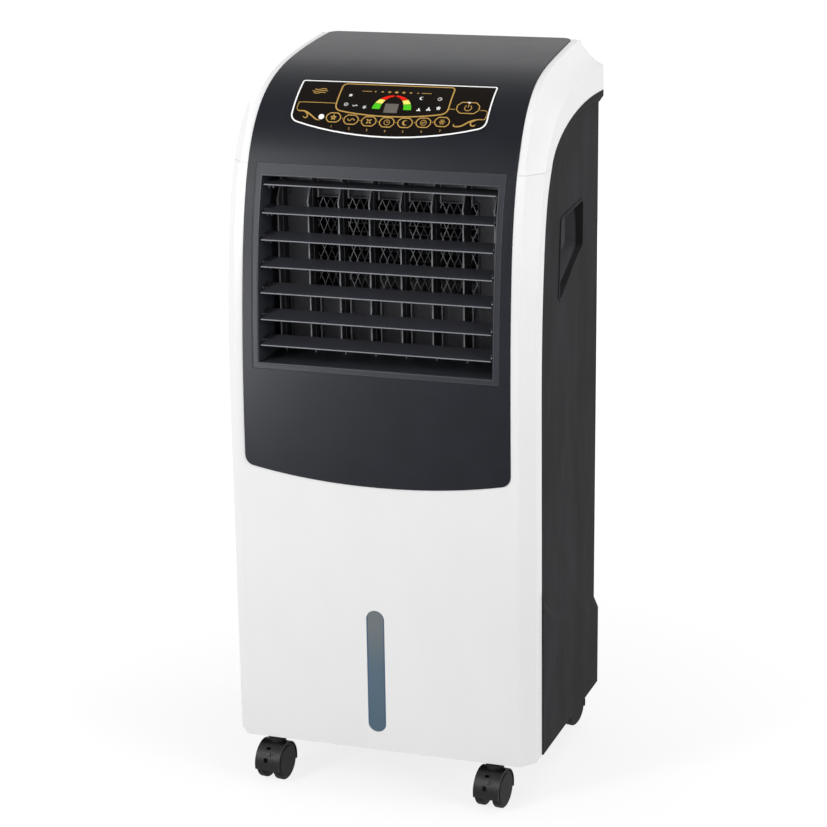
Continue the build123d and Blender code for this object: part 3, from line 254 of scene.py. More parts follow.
def tintedAcrylic():
    # the water level window: clear acrylic over a deep slot, grey above and blue where water stands;
    # deepens and dries are shares of the strip's height, and waves are counted to the metre
    spec = {"low": 78 * mm, "high": 222 * mm, "water": "#445E70", "deep": "#4C6476",
            "deepens": (0.05, 0.45), "dry": "#687074", "dries": (0.5, 0.9), "waves": 30.0,
            "ripple": 0.05, "edge": "#2F5478", "edgeShare": 0.85, "middle": -4.5 * mm,
            "half": 10.6 * mm, "edgeFrom": 2 * mm, "edgeFull": 0.8 * mm, "roughness": 0.12}
    material, tree = newMaterial("tintedAcrylic")
    place = addNode(tree, "ShaderNodeTexCoord").outputs["Object"]
    axes = addNode(tree, "ShaderNodeSeparateXYZ", None, {"Vector": place})
    waves = addNode(tree, "ShaderNodeTexNoise", {"Scale": spec["waves"], "Detail": 2.0},
                    {"Vector": place})
    height = addNode(tree, "ShaderNodeMapRange",
                     {"From Min": spec["low"], "From Max": spec["high"]},
                     {"Value": axes.outputs["Z"]})
    bent = addNode(tree, "ShaderNodeMath", {"operation": "MULTIPLY_ADD", 1: spec["ripple"]},
                   {0: waves.outputs["Fac"], 2: height.outputs["Result"]})
    colour = spec["water"]
    for stretch, tone in (("deepens", "deep"), ("dries", "dry")):
        low, high = spec[stretch]
        share = addNode(tree, "ShaderNodeMapRange", {"From Min": low, "From Max": high},
                        {"Value": bent.outputs[0]})
        colour = mixColour(tree, share.outputs["Result"], colour, spec[tone])
    # a painted shade along the strip's edges: darker and bluer there
    fromMiddle = addNode(tree, "ShaderNodeMath", {"operation": "SUBTRACT", 1: spec["middle"]},
                         {0: axes.outputs["X"]})
    across = addNode(tree, "ShaderNodeMath", {"operation": "ABSOLUTE"}, {0: fromMiddle.outputs[0]})
    rimmed = addNode(tree, "ShaderNodeMapRange",
                     {"From Min": spec["half"] - spec["edgeFrom"],
                      "From Max": spec["half"] - spec["edgeFull"], "To Max": spec["edgeShare"]},
                     {"Value": across.outputs[0]})
    colour = mixColour(tree, rimmed.outputs["Result"], colour, spec["edge"])
    bump = addNode(tree, "ShaderNodeBump", {"Strength": 0.05, "Distance": 0.4 * mm},
                   {"Height": waves.outputs["Fac"]})
    shader = addNode(tree, "ShaderNodeBsdfPrincipled",
                     {"IOR": 1.49, "Roughness": spec["roughness"]},
                     {"Base Color": colour, "Normal": bump.outputs["Normal"]})
    addNode(tree, "ShaderNodeOutputMaterial", None, {"Surface": shader.outputs["BSDF"]})
    return material


# ink laid through a mesh: a little uneven in tone, with the mesh's fine texture, which is drawn
# coarse enough to show; patches and threads are counted to the metre
inkLook = {"patches": 160.0, "threads": 1800.0, "roughness": 0.5, "specular": 0.05}
inks = {"goldInk": ("#B8924C", "#CCA65E"), "whiteInk": ("#FAFAF9", "#FEFEFD"),
        "greenInk": ("#4CC41E", "#5AD22A"), "yellowInk": ("#F4EE6A", "#FAF47C"),
        "redInk": ("#E2200E", "#F02A16")}


def screenInk(name, dark, light):
    material, tree = newMaterial(name)
    place = addNode(tree, "ShaderNodeTexCoord").outputs["Object"]
    patch = addNode(tree, "ShaderNodeTexNoise", {"Scale": inkLook["patches"], "Detail": 3.0},
                    {"Vector": place})
    mesh = addNode(tree, "ShaderNodeTexNoise", {"Scale": inkLook["threads"]}, {"Vector": place})
    colour = mixColour(tree, patch.outputs["Fac"], dark, light)
    bump = addNode(tree, "ShaderNodeBump", {"Strength": 0.1, "Distance": 0.1 * mm},
                   {"Height": mesh.outputs["Fac"]})
    shader = addNode(tree, "ShaderNodeBsdfPrincipled",
                     {"Roughness": inkLook["roughness"], "Specular IOR Level": inkLook["specular"]},
                     {"Base Color": colour, "Normal": bump.outputs["Normal"]})
    addNode(tree, "ShaderNodeOutputMaterial", None, {"Surface": shader.outputs["BSDF"]})
    return material


finish["tintedAcrylic"] = tintedAcrylic()
finish.update({name: screenInk(name, dark, light) for name, (dark, light) in inks.items()})

slotFinish = {
    "white_shell": "whiteAbs", "dark_panel": "charcoalAbs", "dark_shell": "grainedAbs",
    "outlet_bezel": "bezelAbs", "louvre_plastic": "louvreAbs", "vane_plastic": "vaneAbs",
    "link_plastic": "innerAbs", "grille_plastic": "grilleAbs", "window_plastic": "tintedAcrylic",
    "label_film": "labelFilm", "key_plastic": "labelFilm", "display_plastic": "displayAcrylic",
    "circuit_board": "boardEpoxy", "blower_plastic": "innerAbs", "motor_enamel": "motorEnamel",
    "swing_motor_steel": "platedSteel", "inner_plastic": "innerAbs", "intake_plastic": "grainedAbs",
    "filter_mesh": "netNylon", "pad_paper": "padPaper", "tank_plastic": "grainedAbs",
    "pump_plastic": "innerAbs", "hose_vinyl": "greyVinyl", "screw_steel": "platedSteel",
    "gland_rubber": "casterNylon", "caster_nylon": "casterNylon", "wheel_nylon": "wheelNylon",
}
ownFinish = {"outlet_mesh": "netNylon"}
for part in frame["record"]["subparts"]:
    for slot in nodes[part["node"]].material_slots:
        slot.material = finish[ownFinish.get(part["node"], slotFinish[part["material_slot"]])]

print("label and trim")


def bendOf(node):
    # the outermost line of a bent node seen from the side: its furthest point in each direction
    # from straight ahead to straight up, with the length run along that line
    mesh = nodes[node].data
    points = np.empty(len(mesh.vertices) * 3)
    mesh.vertices.foreach_get("co", points)
    points = points.reshape(-1, 3)[:, 1:]
    angles = np.linspace(0, math.pi / 2, 16 * 90 + 1)
    reach = points @ np.stack([-np.cos(angles), np.sin(angles)])
    outer = points[np.unique(reach.argmax(axis=0))]
    outer = outer[outer[:, 1].argsort()]
    steps = np.linalg.norm(np.diff(outer, axis=0), axis=1)
    return {"y": outer[:, 0], "z": outer[:, 1], "run": np.concatenate([[0], np.cumsum(steps)])}


def onBend(bend, x, run, lift):
    # a flat drawing's points laid on the bend, then lifted along its normal, which is taken
    # over 2 mm to each side
    y = np.interp(run, bend["run"], bend["y"])
    z = np.interp(run, bend["run"], bend["z"])
    before, after = run - 2 * mm, run + 2 * mm
    alongY = np.interp(after, bend["run"], bend["y"]) - np.interp(before, bend["run"], bend["y"])
    alongZ = np.interp(after, bend["run"], bend["z"]) - np.interp(before, bend["run"], bend["z"])
    length = np.hypot(alongY, alongZ)
    return np.stack([x, y - lift * alongZ / length, z + lift * alongY / length], axis=-1)


def flat(bend, points):
    # points given by X and height in millimetres, as X and length run along the bend
    points = np.asarray(points, float) * mm
    return np.stack([points[:, 0], np.interp(points[:, 1], bend["z"], bend["run"])], axis=1)


def smooth(points, steps=8):
    # a Catmull-Rom curve: a cubic through each point, with its slope from the two beside it
    points = np.asarray(points, float)
    padded = np.vstack([2 * points[0] - points[1], points, 2 * points[-1] - points[-2]])
    t = np.linspace(0, 1, steps, endpoint=False)[:, None, None]
    a, b, c, d = (padded[i:len(padded) - 3 + i][None] for i in range(4))
    curve = 0.5 * (2 * b + (c - a) * t + (2 * a - 5 * b + 4 * c - d) * t**2
                   + (3 * b - a - 3 * c + d) * t**3)
    curve = curve.transpose(1, 0, 2).reshape(-1, 2)
    return np.vstack([curve, points[-1:]])


def rounded(points, radii):
    # a closed outline whose corners are drawn as parabolas that start a radius from each corner
    points = np.asarray(points, float)
    before, after = np.roll(points, 1, axis=0) - points, np.roll(points, -1, axis=0) - points
    radii = np.asarray(radii, float)[:, None]
    before = points + radii * before / np.linalg.norm(before, axis=1)[:, None]
    after = points + radii * after / np.linalg.norm(after, axis=1)[:, None]
    t = np.linspace(0, 1, 7)[:, None, None]
    curve = (1 - t)**2 * before + 2 * t * (1 - t) * points + t**2 * after
    return curve.transpose(1, 0, 2).reshape(-1, 2)


def stepped(path, closed=True):
    # adds a point every 2.5 mm along straight stretches, so that a print follows the bend
    loop = np.vstack([path, path[:1]]) if closed else np.asarray(path)
    length = np.concatenate([[0], np.cumsum(np.linalg.norm(np.diff(loop, axis=0), axis=1))])
    added = np.arange(0, length[-1], 2.5 * mm)
    places = np.unique(np.round(np.concatenate([length, added]), 5))
    path = np.stack([np.interp(places, length, loop[:, axis]) for axis in (0, 1)], axis=1)
    return path[:-1] if closed else path


def arc(radius, start=0.0, sweep=360.0, count=24, centre=(0.0, 0.0)):
    # points along an arc, or round a full circle without its last point
    angles = np.radians(np.linspace(start, start + sweep, count, endpoint=abs(sweep) < 360))
    return radius * np.stack([np.cos(angles), np.sin(angles)], axis=1) + centre


inkLift = (-0.06 * mm, 0.14 * mm)  # from inside the film to a print that stands just proud
inkSection = ([-0.5, -0.5, 0.5, 0.5], [inkLift[0], inkLift[1], inkLift[1], inkLift[0]])


def carried(path, width, section=inkSection, closed=False):
    # a section, in shares of the width, carried square to a path; returns points, lifts and faces
    path = np.asarray(path, float)
    if closed:
        ahead = np.roll(path, -1, axis=0) - np.roll(path, 1, axis=0)
    else:
        ahead = np.gradient(path, axis=0)
    ahead = ahead / np.linalg.norm(ahead, axis=1)[:, None]
    side = np.stack([-ahead[:, 1], ahead[:, 0]], axis=1)
    across, lifts = np.asarray(section[0]), np.asarray(section[1])
    width = np.broadcast_to(width, len(path))
    points = path[:, None] + side[:, None] * (across[None, :] * width[:, None])[..., None]
    rows, columns = len(path), len(across)
    i, j = np.meshgrid(np.arange(rows if closed else rows - 1), np.arange(columns), indexing="ij")
    nextRow, nextColumn = (i + 1) % rows, (j + 1) % columns
    faces = np.stack([i * columns + j, i * columns + nextColumn, nextRow * columns + nextColumn,
                      nextRow * columns + j], axis=-1).reshape(-1, 4).tolist()
    if not closed:
        faces += [list(range(columns))[::-1], list(range((rows - 1) * columns, rows * columns))]
    return points.reshape(-1, 2), np.tile(lifts, rows), faces


def plate(outline):
    # a flat shape with the ink's thickness; the outline runs anticlockwise
    outline = np.asarray(outline, float)
    count = len(outline)
    low, high = list(range(count)), list(range(count, 2 * count))
    sides = [[i, (i + 1) % count, (i + 1) % count + count, i + count] for i in range(count)]
    return np.vstack([outline, outline]), np.repeat(inkLift, count), [low[::-1], high] + sides


def numeral(text, size):
    # a plain numeral as a mesh, in its own plane
    curve = bpy.data.curves.new("numeral", "FONT")
    curve.body = text
    curve.size = size
    curve.align_x, curve.align_y = "CENTER", "CENTER"
    curve.extrude = 0.5
    curve.resolution_u = 3
    holder = bpy.data.objects.new("numeral", curve)
    bpy.context.scene.collection.objects.link(holder)
    mesh = bpy.data.meshes.new_from_object(holder)
    points = np.empty(len(mesh.vertices) * 3)
    mesh.vertices.foreach_get("co", points)
    points = points.reshape(-1, 3)
    faces = [list(polygon.vertices) for polygon in mesh.polygons]
    bpy.data.objects.remove(holder)
    bpy.data.curves.remove(curve)
    bpy.data.meshes.remove(mesh)
    return points[:, :2], np.where(points[:, 2] > 0, inkLift[1], inkLift[0]), faces


def at(shapes, x, run, scale=mm):
    # shapes drawn in millimetres about zero, put at a place on the flat drawing
    return [(points * scale + (x, run), lifts, faces) for points, lifts, faces in shapes]


def addPiece(name, bend, shapes, material, body):
    # joins flat shapes into one mesh on the bend and lets it ride on a body
    offsets = np.cumsum([0] + [len(points) for points, lifts, faces in shapes[:-1]])
    flatPoints = np.vstack([points for points, lifts, faces in shapes])
    lifts = np.concatenate([lifts for points, lifts, faces in shapes])
    faces = [[index + int(offset) for index in face]
             for offset, shape in zip(offsets, shapes) for face in shape[2]]
    mesh = bpy.data.meshes.new(name)
    mesh.from_pydata(onBend(bend, flatPoints[:, 0], flatPoints[:, 1], lifts).tolist(), [], faces)
    mesh.update()
    mesh.materials.append(finish[material])
    piece = bpy.data.objects.new(name, mesh)
    bpy.context.scene.collection.objects.link(piece)
    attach(piece, body)


def petals(count, radius, long, wide, turn=90.0):
    # a ring of oval petals about the middle
    shapes = []
    for i in range(count):
        angle = math.radians(turn + 360 * i / count)
        oval = arc(1.0, count=12) * (long / 2, wide / 2) + (radius, 0)
        spin = np.array([[math.cos(angle), math.sin(angle)], [-math.sin(angle), math.cos(angle)]])
        shapes.append(plate(oval @ spin))
    return shapes


def crescent(radius):
    # a disc less a smaller one beside it
    outer = arc(radius, 50, 260, 20)
    inner = arc(radius * 0.83, 58, 244, 16, centre=(radius * 0.42, 0.06 * radius))
    return [plate(np.vstack([outer, inner[::-1]]))]


def ring(radius, width):
    return [carried(arc(radius), width, closed=True)]


def line(start, end, width):
    return [carried(np.linspace(start, end, 3), width)]


def wave(half, height, width):
    x = np.linspace(-half, half, 17)
    return [carried(np.stack([x, height * np.sin(x / half * math.pi)], axis=1), width)]


def spokes(count, radius, width):
    shapes = []
    for i in range(count):
        way = np.array([math.cos(math.pi * i / count), math.sin(math.pi * i / count)])
        side = np.array([-way[1], way[0]]) * radius * 0.3
        shapes += line(-way * radius, way * radius, width)
        for end in (-0.62, 0.62):
            shapes += line(way * radius * end - side, way * radius * end + side, width)
    return shapes


# signs of everyday use, drawn about zero in millimetres
signs = {
    "blower": petals(5, 2.0, 3.0, 1.9) + ring(0.9, 0.6),
    "swing": wave(3.6, 1.3, 0.8) + [plate(arc(0.8, centre=(-3.6, 0.2))),
                                    plate(arc(0.8, centre=(3.6, -0.2)))],
    "breeze": petals(4, 2.2, 3.2, 1.7, 45.0),
    "fan": petals(3, 2.1, 3.6, 2.6) + ring(0.8, 0.8),
    "clock": ring(3.2, 0.65) + line((0, 0), (0, 2.1), 0.6) + line((-0.2, 0), (1.7, 0), 0.6),
    "moon": crescent(3.2),
    "mild": ring(3.2, 0.65) + wave(2.2, 0.8, 0.7),
    "snow": spokes(3, 3.6, 0.55),
    "power": [carried(arc(3.4, 125, 290), 0.75)] + line((0, 0.6), (0, 4.4), 0.75),
}

labelBend = bendOf("control_overlay")


def border(spec):
    # a closed line with straight sides and a bottom that hangs as a shallow parabola
    across = np.linspace(*spec["bottom"])
    bottom = np.stack([across, spec["low"] + spec["sag"] * across**2], axis=1)
    lowLeft, lowRight = spec["corners"]
    outline = np.vstack([[(spec["left"], lowLeft)], bottom, [(spec["right"], lowRight)],
                         [(spec["right"], spec["top"]), (spec["left"], spec["top"])]])
    lower, upper = spec["radii"]
    radii = np.array([lower] + [1.0] * len(bottom) + [lower, upper, upper]) * mm
    path = stepped(rounded(flat(labelBend, outline), radii))
    return carried(path, spec["line"] * mm, closed=True)


# heights and X in millimetres; bottom holds the parabola's ends and its count of points
labelLine = {"left": -112.6, "right": 112.6, "top": 805.0, "low": 755.3, "sag": 0.00105,
             "bottom": (-90, 90, 13), "radii": (9.0, 2.5), "line": 1.7}
labelLine["corners"] = [labelLine["low"] + labelLine["sag"] * labelLine["right"]**2] * 2
frameLine = {"left": -64.0, "right": 66.0, "top": 803.4, "low": 775.2, "sag": 0.0011,
             "bottom": (-48, 50, 9), "corners": (779.7, 780.0), "radii": (8.0, 6.0), "line": 1.5}
whiteShapes = [border(labelLine)]
goldShapes = [border(frameLine)]
hairline = 0.7


def straightHair(points):
    return carried(stepped(flat(labelBend, points), closed=False), hairline * mm)


def curvedHair(points):
    return carried(smooth(flat(labelBend, points), 6), hairline * mm)


def scroll(points, width):
    # a scroll that swells in its middle and thins to its ends
    path = smooth(flat(labelBend, points))
    swell = np.sin(np.linspace(0.12, math.pi - 0.12, len(path)))
    return carried(path, width * mm * (0.35 + 0.65 * swell))


# hairlines and scrolls from the frame to both ends of the label
goldShapes += [
    curvedHair([(-64, 785.8), (-104, 785.8), (-107.6, 784.8), (-108.4, 781), (-107.6, 778.6)]),
    scroll([(-107.6, 778.6), (-104.8, 777.5), (-98.7, 777.4), (-92.8, 775.3), (-87.2, 772.3),
            (-83, 770), (-78.4, 769.2)], 1.7),
    scroll([(-98.5, 777.2), (-94.6, 774.6), (-93.8, 772.2), (-96, 770.9), (-98.8, 772.2)], 1.4),
    straightHair([(66, 784.6), (70, 784.6), (73.7, 784.6)]),
    curvedHair([(102.3, 784.4), (107.5, 784.4), (110.6, 783), (110.8, 780), (109.4, 776)]),
    scroll([(109.4, 776), (103, 775.9), (97, 775), (91.2, 772.6), (85.7, 769.6), (79.7, 768.4),
            (76, 769.2), (76.6, 770.9)], 1.6),
    scroll([(101, 775.4), (95.4, 773.2), (95.2, 770.6), (98.4, 769.6), (100.6, 771)], 1.4),
]

# a divider of lozenges that shrink to both sides, with a dash at each end
divider = {"x": 1.0, "height": 797.6, "pitch": 8.2, "size": 2.0, "shrink": 0.35, "wide": 1.3,
           "dash": (29, 40)}
lozenge = np.array([(1.0, 0), (0, 1.0), (-1.0, 0), (0, -1.0)])
spot = flat(labelBend, [(divider["x"], divider["height"])])[0]
for step in range(-3, 4):
    size = divider["size"] - divider["shrink"] * abs(step)
    goldShapes += at([plate(lozenge * (size * divider["wide"], size))],
                     spot[0] + divider["pitch"] * step * mm, spot[1])
for side in (-1, 1):
    ends = [(side * end, 0) for end in divider["dash"]]
    goldShapes += at(line(ends[0], ends[1], hairline), spot[0], spot[1])

# three air waves in the upper left corner
airWaves = {"x": -88, "height": 796.4, "half": 9.0, "shrink": 2, "swing": 0.9, "line": 1.0,
            "pitch": 3.0}
spot = flat(labelBend, [(airWaves["x"], airWaves["height"])])[0]
for step in (-1, 0, 1):
    half = airWaves["half"] - abs(step) * airWaves["shrink"]
    goldShapes += at(wave(half, airWaves["swing"], airWaves["line"]),
                     spot[0], spot[1] + airWaves["pitch"] * step * mm)


def keyFace(name):
    # the flat face of a key: its X, its run along the bend and half its height, from the longest
    # straight stretch of its outline
    bend = bendOf(name)
    low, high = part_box(name)
    longest = np.diff(bend["run"]).argmax()
    ends = slice(longest, longest + 2)
    return {"bend": bend, "x": (low[0] + high[0]) / 2, "halfX": (high[0] - low[0]) / 2,
            "run": bend["run"][ends].mean(), "halfRun": np.ptp(bend["run"][ends]) / 2,
            "height": bend["z"][ends].mean()}


# a numeral under each key, and a hairline from key to key that keeps clear of their rings
keyNotes = {"size": 4.0, "shift": -0.6, "drop": 8.7, "clear": 9.8}
keyNames = [f"key_{i + 1}" for i in range(7)]
keyFaces = {name: keyFace(name) for name in keyNames + ["power_key"]}
keyMiddles = [(keyFaces[name]["x"] / mm, keyFaces[name]["height"] / mm) for name in keyNames]
for number, (x, height) in enumerate(keyMiddles, 1):
    spot = flat(labelBend, [(x + keyNotes["shift"], height - keyNotes["drop"])])[0]
    goldShapes += at([numeral(str(number), keyNotes["size"])], spot[0], spot[1])
for first, second in zip(keyMiddles, keyMiddles[1:]):
    ends = [(first[0] + keyNotes["clear"], first[1]), (second[0] - keyNotes["clear"], second[1])]
    goldShapes.append(straightHair(np.linspace(ends[0], ends[1], 3)))

# white status signs, each with its X, height and size, and the receiver window
receiver = {"x": -77.2, "height": 772.6, "radius": 3.3}
status = [("blower", -50.6, 793.6, 0.62), ("mild", -52.4, 785.2, 0.66), ("swing", -41.8, 784.3, 0.66),
          ("snow", -30.4, 783.2, 0.62), ("moon", 32.0, 793.2, 0.72), ("clock", 53.0, 793.2, 0.7),
          ("fan", 32.4, 782.6, 0.62), ("fan", 43.5, 783.5, 0.72), ("blower", 54.5, 784.9, 0.76)]
for sign, x, height, size in status:
    spot = flat(labelBend, [(x, height)])[0]
    whiteShapes += at(signs[sign], spot[0], spot[1], size * mm)
spot = flat(labelBend, [(receiver["x"], receiver["height"])])[0]
whiteShapes += at([plate(arc(receiver["radius"]))], spot[0], spot[1])

# gauge over the display: a band between two half ellipses, in three colours on each side
gauge = {"x": 1.2, "height": 781.6, "outer": (22.6, 13.4), "inner": (13.6, 12.0)}


def gaugeBand(start, end):
    # the band between two angles, cut into nine rows of six points, with a top and an underside
    middle = flat(labelBend, [(gauge["x"], gauge["height"])])[0]
    top = flat(labelBend, [(gauge["x"], gauge["height"] + gauge["outer"][1])])[0]
    stretch = (top[1] - middle[1]) / gauge["outer"][1]
    angles = np.radians(np.linspace(start, end, 9))
    bands = np.linspace(0, 1, 6)[None, :]
    wide, high = ((1 - bands) * gauge["inner"][axis] + bands * gauge["outer"][axis] for axis in (0, 1))
    x = np.cos(angles)[:, None] * wide
    y = np.sin(angles)[:, None] * high
    columns = bands.shape[1]
    path = np.stack([middle[0] + x * mm, middle[1] + y * stretch], axis=-1)
    loop = np.concatenate([path, path[:, ::-1]], axis=1)
    lifts = np.tile(np.repeat([inkLift[1], inkLift[0]], columns), len(angles))
    i, j = np.meshgrid(np.arange(len(angles) - 1), np.arange(2 * columns), indexing="ij")
    nextColumn = (j + 1) % (2 * columns)
    faces = np.stack([i * 2 * columns + j, i * 2 * columns + nextColumn,
                      (i + 1) * 2 * columns + nextColumn, (i + 1) * 2 * columns + j], axis=-1)
    last = (len(angles) - 1) * 2 * columns
    ends = [list(range(2 * columns))[::-1], list(range(last, last + 2 * columns))]
    return loop.reshape(-1, 2), lifts, faces.reshape(-1, 4).tolist() + ends


addPiece("label_print_gold", labelBend, goldShapes, "goldInk", "cabinet")
addPiece("label_print_white", labelBend, whiteShapes, "whiteInk", "cabinet")
# each colour's stretch in degrees above level, on both sides
for ink, low, high in (("green", 2, 24), ("yellow", 25.5, 44), ("red", 45.5, 86)):
    shapes = [gaugeBand(low, high), gaugeBand(180 - high, 180 - low)]
    addPiece(f"label_print_{ink}", labelBend, shapes, f"{ink}Ink", "cabinet")

keyInk = {"collar": 2.0, "inset": 0.5, "cut": 0.62, "corner": 1.2, "line": 1.1, "dot": 1.5,
          "dotLift": 1.4}


def keyPrint(name, sign, size):
    # a ring along the key's cut-cornered edge and the sign in its middle
    face = keyFaces[name]
    halfX = face["halfX"] - keyInk["collar"] * mm
    halfRun = face["halfRun"] - keyInk["inset"] * mm
    cut = keyInk["cut"] * halfRun
    corners = np.array([(halfX, halfRun - cut), (halfX - cut, halfRun), (cut - halfX, halfRun),
                        (-halfX, halfRun - cut), (-halfX, cut - halfRun), (cut - halfX, -halfRun),
                        (halfX - cut, -halfRun), (halfX, cut - halfRun)])
    corners += (face["x"], face["run"])
    path = stepped(rounded(corners, [keyInk["corner"] * mm] * 8))
    shapes = [carried(path, keyInk["line"] * mm, closed=True)]
    shapes += at(signs[sign], face["x"], face["run"], size * mm)
    addPiece(f"{name}_print", face["bend"], shapes, "goldInk", f"{name}_body")


for name, sign in zip(keyNames, ("blower", "swing", "breeze", "clock", "moon", "mild", "snow")):
    keyPrint(name, sign, 1.0)
keyPrint("power_key", "power", 1.15)
# a white dot at the top of the power key's ring, laid a little over it
face = keyFaces["power_key"]
dot = at([plate(arc(keyInk["dot"]))], face["x"],
         face["run"] + face["halfRun"] - keyInk["inset"] * mm)
shapes = [(points, lifts * keyInk["dotLift"], faces) for points, lifts, faces in dot]
addPiece("power_key_dot", face["bend"], shapes, "whiteInk", "power_key_body")


def beadSection(proud):
    # a low rounded ridge that is sunk 0.2 mm into the face it lies on
    height = proud * mm
    return ([-0.5, -0.4, -0.15, 0.15, 0.4, 0.5],
            [-0.2 * mm, 0.7 * height, height, height, 0.7 * height, -0.2 * mm])


# beads round the air outlet: a bright inner lip, paler by a painted highlight, and a fine line
# at the bezel's border
bezelBend = bendOf("louvre_surround")
beads = {
    "outlet_lip": {"half": 137.0, "low": 503.5, "high": 711.4, "wide": 2.0, "proud": 0.5,
                   "material": "beadAbs"},
    "outlet_border": {"half": 143.2, "low": 498.3, "high": 723.2, "wide": 1.0, "proud": 0.25,
                      "material": "borderAbs"},
}
for name, spec in beads.items():
    corners = flat(bezelBend, [(-spec["half"], spec["low"]), (spec["half"], spec["low"]),
                               (spec["half"], spec["high"]), (-spec["half"], spec["high"])])
    # each side is cut into short steps, so that it follows the bend
    sides = [np.linspace(corners[i], corners[(i + 1) % 4], 40, endpoint=False) for i in range(4)]
    path = np.vstack(sides)
    addPiece(name, bezelBend,
             [carried(path, spec["wide"] * mm, beadSection(spec["proud"]), closed=True)],
             spec["material"], "cabinet")

print("light and camera")


def placeCamera():
    # a camera by its place in millimetres, and its turn about Z, its dip and its roll in radians
    spec = {"x": 903.6, "y": -2487.8, "z": 1233.1, "turn": 0.33216, "dip": 0.28591,
            "roll": -0.01614, "lens": 108.83, "sensor": 36.0, "sight": 50}
    turn, dip, roll = spec["turn"], spec["dip"], spec["roll"]
    ahead = np.array([-math.sin(turn) * math.cos(dip), math.cos(turn) * math.cos(dip),
                      -math.sin(dip)])
    right = np.array([math.cos(turn), math.sin(turn), 0.0])
    up = np.cross(right, ahead)
    right, up = (math.cos(roll) * right + math.sin(roll) * up,
                 math.cos(roll) * up - math.sin(roll) * right)
    camera = bpy.data.objects.new("camera", bpy.data.cameras.new("camera"))
    bpy.context.scene.collection.objects.link(camera)
    place = np.array([spec["x"], spec["y"], spec["z"]]) * mm + np.array([0, faceY, 0])
    rows = np.column_stack([right, up, -ahead, place])
    camera.matrix_world = Matrix([list(row) for row in rows] + [[0, 0, 0, 1]])
    camera.data.lens = spec["lens"]
    camera.data.sensor_width = spec["sensor"]
    camera.data.clip_end = spec["sight"]
    bpy.context.scene.camera = camera


def softLamp(name, spec):
    # a rectangular softbox that looks at a point
    lamp = bpy.data.objects.new(name, bpy.data.lights.new(name, "AREA"))
    lamp.data.shape = "RECTANGLE"
    lamp.data.size, lamp.data.size_y = spec["size"]
    lamp.data.energy = spec["power"]
    lamp.visible_camera = False
    bpy.context.scene.collection.objects.link(lamp)
    back = np.array(spec["from"]) - np.array(spec["at"])
    back = back / np.linalg.norm(back)
    side = np.cross([0, 0, 1], back)
    side = side / np.linalg.norm(side)
    rows = np.column_stack([side, np.cross(back, side), back, spec["from"]])
    lamp.matrix_world = Matrix([list(row) for row in rows] + [[0, 0, 0, 1]])
    if "only" in spec:
        # a lamp that is flagged off from all but these pieces
        lit = bpy.data.collections.new(f"{name}Pieces")
        for node in spec["only"]:
            lit.objects.link(nodes[node])
        lamp.light_linking.receiver_collection = lit


def seenRays(tree):
    # 1 for rays that show the backdrop: from the camera, in gloss and through clear parts
    rays = addNode(tree, "ShaderNodeLightPath")
    seen = addNode(tree, "ShaderNodeMath", {"operation": "MAXIMUM"},
                   {0: rays.outputs["Is Camera Ray"], 1: rays.outputs["Is Glossy Ray"]})
    seen = addNode(tree, "ShaderNodeMath", {"operation": "MAXIMUM"},
                   {0: seen.outputs[0], 1: rays.outputs["Is Transmission Ray"]})
    return seen.outputs[0]


placeCamera()
lamps = {
    "keyLamp": {"from": (-1.05, -1.5, 1.75), "at": (0, 0, 0.7), "size": (0.4, 0.5), "power": 9},
    "sheenLamp": {"from": (-0.92, -1.3, 0.36), "at": (-0.1, 0, 0.36), "size": (0.34, 0.6),
                  "power": 19, "only": ["fascia", "louvre_surround"]},
    "frontLamp": {"from": (-1.1, -1.75, 1.1), "at": (0, 0, 0.4), "size": (0.5, 0.8), "power": 18},
    "fillLamp": {"from": (3.0, -1.2, 1.2), "at": (0, 0, 0.55), "size": (1.4, 1.4), "power": 52},
    "rearLamp": {"from": (-1.2, 2.7, 0.6), "at": (0, 0, 0.5), "size": (1.6, 1.0), "power": 24},
    "leftLamp": {"from": (-2.6, 0.2, 1.4), "at": (0, 0, 0.5), "size": (1.2, 1.8), "power": 9},
    "topLamp": {"from": (1.0, 0.2, 2.6), "at": (0, 0, 0.7), "size": (1.2, 1.2), "power": 14},
}
for name, spec in lamps.items():
    softLamp(name, spec)
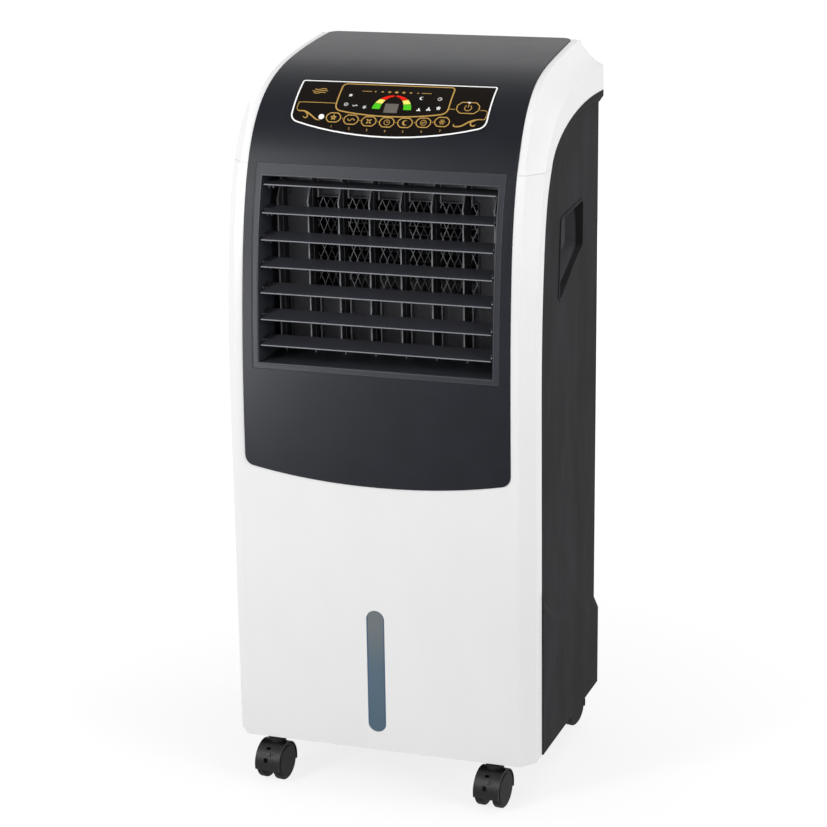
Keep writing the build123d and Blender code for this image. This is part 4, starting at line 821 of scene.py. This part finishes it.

# a pale paper floor in a bright room; its glow is least under the object, a painted shade where its
# shadow lies
studio = {"ambient": 0.27, "floorHalf": 6, "floorShare": 0.35, "floorTone": 0.5,
          "glowNear": 1.26, "glowFar": 1.5, "nearEnd": 0.15, "farStart": 1.1}
world = bpy.data.worlds.new("studio")
world.use_nodes = True
tree = world.node_tree
tree.nodes.clear()
strength = addNode(tree, "ShaderNodeMapRange", {"To Min": studio["ambient"], "To Max": 1.0},
                   {"Value": seenRays(tree)})
backdrop = addNode(tree, "ShaderNodeBackground", {"Color": (1, 1, 1, 1)},
                   {"Strength": strength.outputs["Result"]})
addNode(tree, "ShaderNodeOutputWorld", None, {"Surface": backdrop.outputs["Background"]})
bpy.context.scene.world = world

bpy.context.scene.view_settings.view_transform = "Standard"

floorMesh = bpy.data.meshes.new("floor")
half = studio["floorHalf"]
floorMesh.from_pydata([(-half, -half, 0), (half, -half, 0), (half, half, 0), (-half, half, 0)],
                      [], [(0, 1, 2, 3)])
floor = bpy.data.objects.new("floor", floorMesh)
bpy.context.scene.collection.objects.link(floor)
floorMaterial, tree = newMaterial("paperFloor")
tone = studio["floorTone"]
shade = addNode(tree, "ShaderNodeBsdfDiffuse", {"Color": (tone, tone, tone, 1)})
place = addNode(tree, "ShaderNodeTexCoord").outputs["Object"]
away = addNode(tree, "ShaderNodeVectorMath", {"operation": "LENGTH"}, {0: place})
glowing = addNode(tree, "ShaderNodeMapRange",
                  {"From Min": studio["nearEnd"], "From Max": studio["farStart"],
                   "To Min": studio["glowNear"], "To Max": studio["glowFar"]},
                  {"Value": away.outputs["Value"]})
glow = addNode(tree, "ShaderNodeEmission", {"Color": (1, 1, 1, 1)},
               {"Strength": glowing.outputs["Result"]})
share = addNode(tree, "ShaderNodeMapRange", {"To Min": 0.0, "To Max": 1 - studio["floorShare"]},
                {"Value": seenRays(tree)})
paper = addNode(tree, "ShaderNodeMixShader", None,
                {0: share.outputs["Result"], 1: shade.outputs["BSDF"], 2: glow.outputs["Emission"]})
addNode(tree, "ShaderNodeOutputMaterial", None, {"Surface": paper.outputs["Shader"]})
floorMesh.materials.append(floorMaterial)

print("done")
